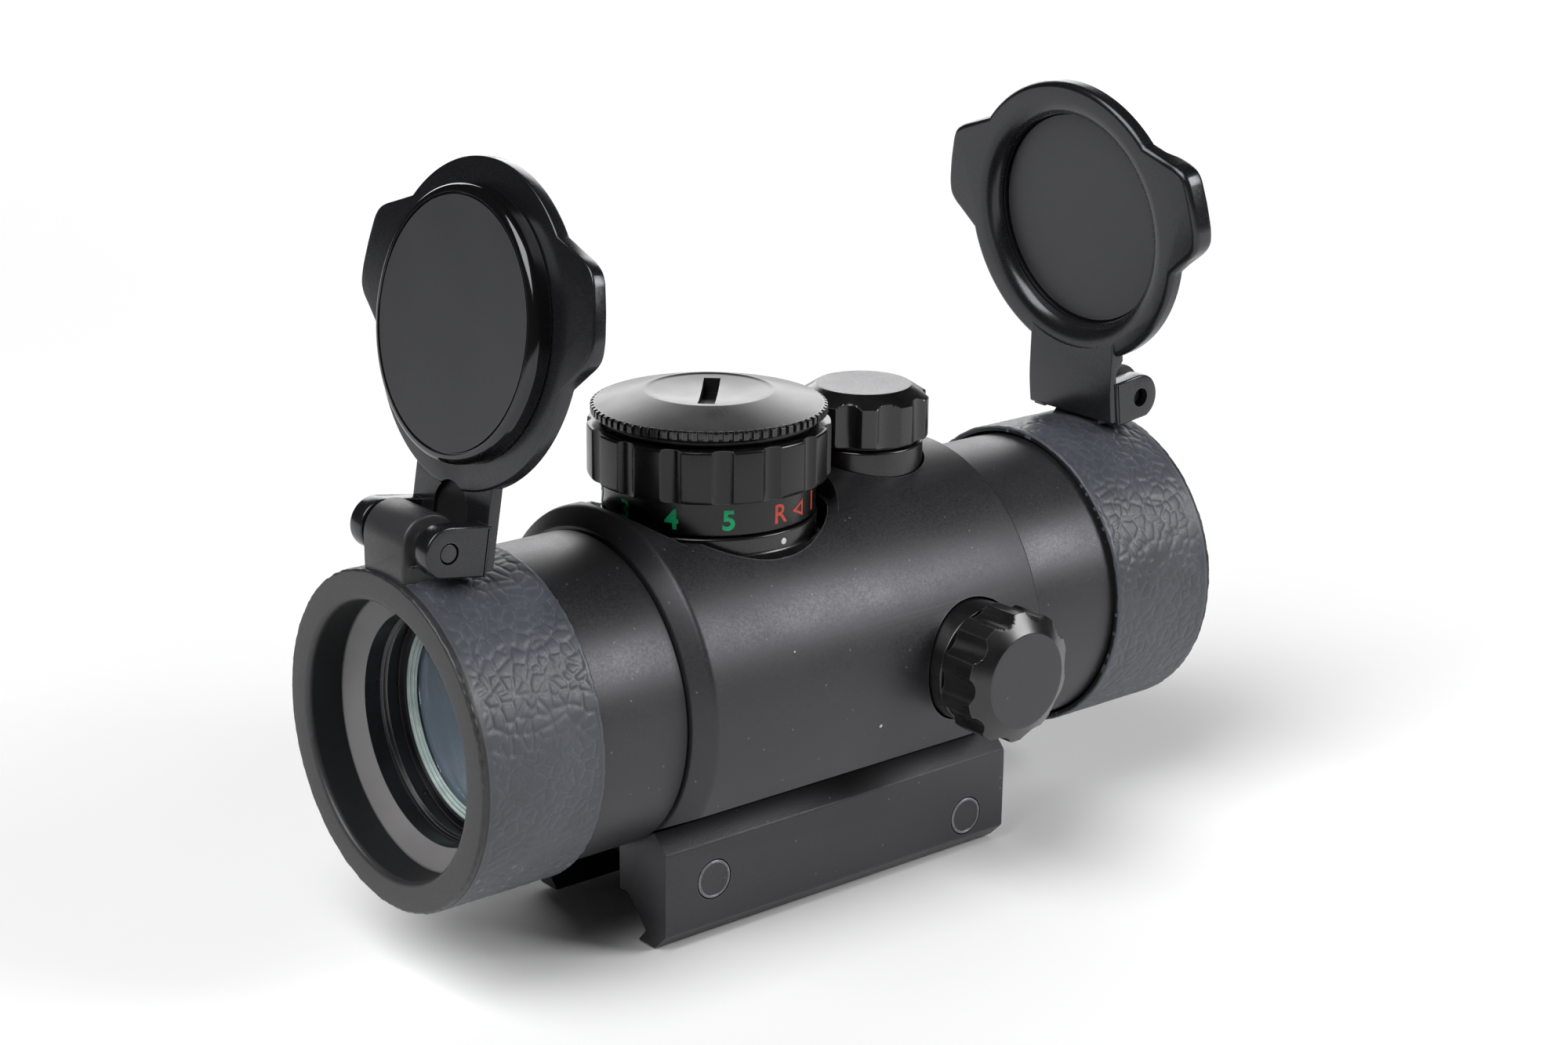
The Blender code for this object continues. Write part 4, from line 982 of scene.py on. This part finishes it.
INNER_LOOKS = {
    "battery_contact": "brass", "battery_holder": "plain", "battery_spring": "steel", "coin_cell": "steel",
    "carrier_tube": "bore", "click_ball": "steel", "click_spring": "steel", "pivot_seat": "brass",
    "elevation_adjuster_screw": "brass", "windage_adjuster_screw": "brass", "elevation_plunger": "brass",
    "windage_plunger": "brass", "light_holder": "plain", "light_source": "lamp", "return_spring": "steel",
    "switch_board": "board",
}


def inner_nodes():
    """Gives the CAD nodes that stay their own procedural materials."""
    for name, look in INNER_LOOKS.items():
        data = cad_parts[name].data
        data.materials.clear()
        data.materials.append(LOOK[look])


# ---------------------------------------------------------------- camera, floor and light
def camera():
    """Looks at the sight from behind, its left side and a little above."""
    target = Vector((2.4, 0.0, 42.2)) * MM
    azimuth, elevation, roll, distance = math.radians(-40.03), math.radians(17.49), math.radians(0.73), 396 * MM
    back = Vector((math.sin(azimuth) * math.cos(elevation), -math.cos(azimuth) * math.cos(elevation),
                   math.sin(elevation)))
    right = Vector((math.cos(azimuth), math.sin(azimuth), 0))
    up = back.cross(right)
    right, up = (right * math.cos(roll) + up * math.sin(roll), up * math.cos(roll) - right * math.sin(roll))
    data = bpy.data.cameras.new("camera")
    data.lens = 67.9
    data.sensor_width = 36.0
    data.clip_start, data.clip_end = 0.01, 20.0
    eye = bpy.data.objects.new("camera", data)
    eye.matrix_world = Matrix((right, up, back)).transposed().to_4x4()
    eye.location = target + back * distance
    bpy.context.scene.collection.objects.link(eye)
    bpy.context.scene.camera = eye


def softbox(name, position, target, width, height, power):
    data = bpy.data.lights.new(name, "AREA")
    data.shape = "RECTANGLE"
    data.size, data.size_y, data.energy = width, height, power
    lamp = bpy.data.objects.new(name, data)
    lamp.location = position
    lamp.rotation_mode = "QUATERNION"
    lamp.rotation_quaternion = (Vector(position) - Vector(target)).to_track_quat("Z", "Y")
    bpy.context.scene.collection.objects.link(lamp)


def studio():
    """A pale floor under soft white light from all round."""
    work = bmesh.new()
    bmesh.ops.create_circle(work, cap_ends=True, segments=64, radius=1.6)
    floor = from_bmesh("floor", work, Matrix.Translation((0, 0, -5.8 * MM - 0.0002)), None)
    n = Nodes("pale_floor")
    n.set(Base_Color=(0.93, 0.93, 0.93, 1.0), Roughness=0.9, Specular_IOR_Level=0.1)
    floor.data.materials.append(n.material)
    world = bpy.data.worlds.new("studio")
    bpy.context.scene.world = world
    world.use_nodes = True
    nodes, links = world.node_tree.nodes, world.node_tree.links
    ray = nodes.new("ShaderNodeTexCoord")
    split = nodes.new("ShaderNodeSeparateXYZ")
    band = nodes.new("ShaderNodeMapRange")
    links.new(ray.outputs["Generated"], split.inputs[0])
    links.new(split.outputs["Z"], band.inputs["Value"])
    for key, value in {"From Min": 0.02, "From Max": 0.30, "To Min": 0.55, "To Max": 0.03}.items():
        band.inputs[key].default_value = value
    path, seen = nodes.new("ShaderNodeLightPath"), nodes.new("ShaderNodeMix")
    links.new(path.outputs["Is Camera Ray"], seen.inputs[0])
    links.new(band.outputs["Result"], seen.inputs[2])
    seen.inputs[3].default_value = 17.0
    links.new(seen.outputs[0], nodes["Background"].inputs["Strength"])
    centre = (0.0, 0.0, 0.04)
    softbox("right_light", (0.56, -0.66, 0.50), centre, 0.42, 0.34, 5.2)
    softbox("back_light", (0.70, 0.78, 0.42), centre, 1.3, 0.6, 8.0)
    softbox("floor_light", (-0.75, -0.15, 1.05), centre, 0.9, 0.9, 17.5)
    bpy.context.scene.view_settings.view_transform = "Standard"


camera()
main_body()
tubes()
rubber_ring("eyepiece_ring", -43.4, -61.2, -1, COVERS["eyepiece"]["pin_x"], 0.0)
rubber_ring("objective_ring", 45.2, 63.85, 1, COVERS["objective"]["pin_x"], 40.0)
for cover_name, cover_size in COVERS.items():
    cover(cover_name, cover_size)
    hinge(cover_name, cover_size)
dial()
adjuster("elevation", upright(TURRET_X), "turned")
adjuster("windage", sideways(TURRET_X), "turned_side")
rail_mount()
optics()
inner_nodes()
studio()
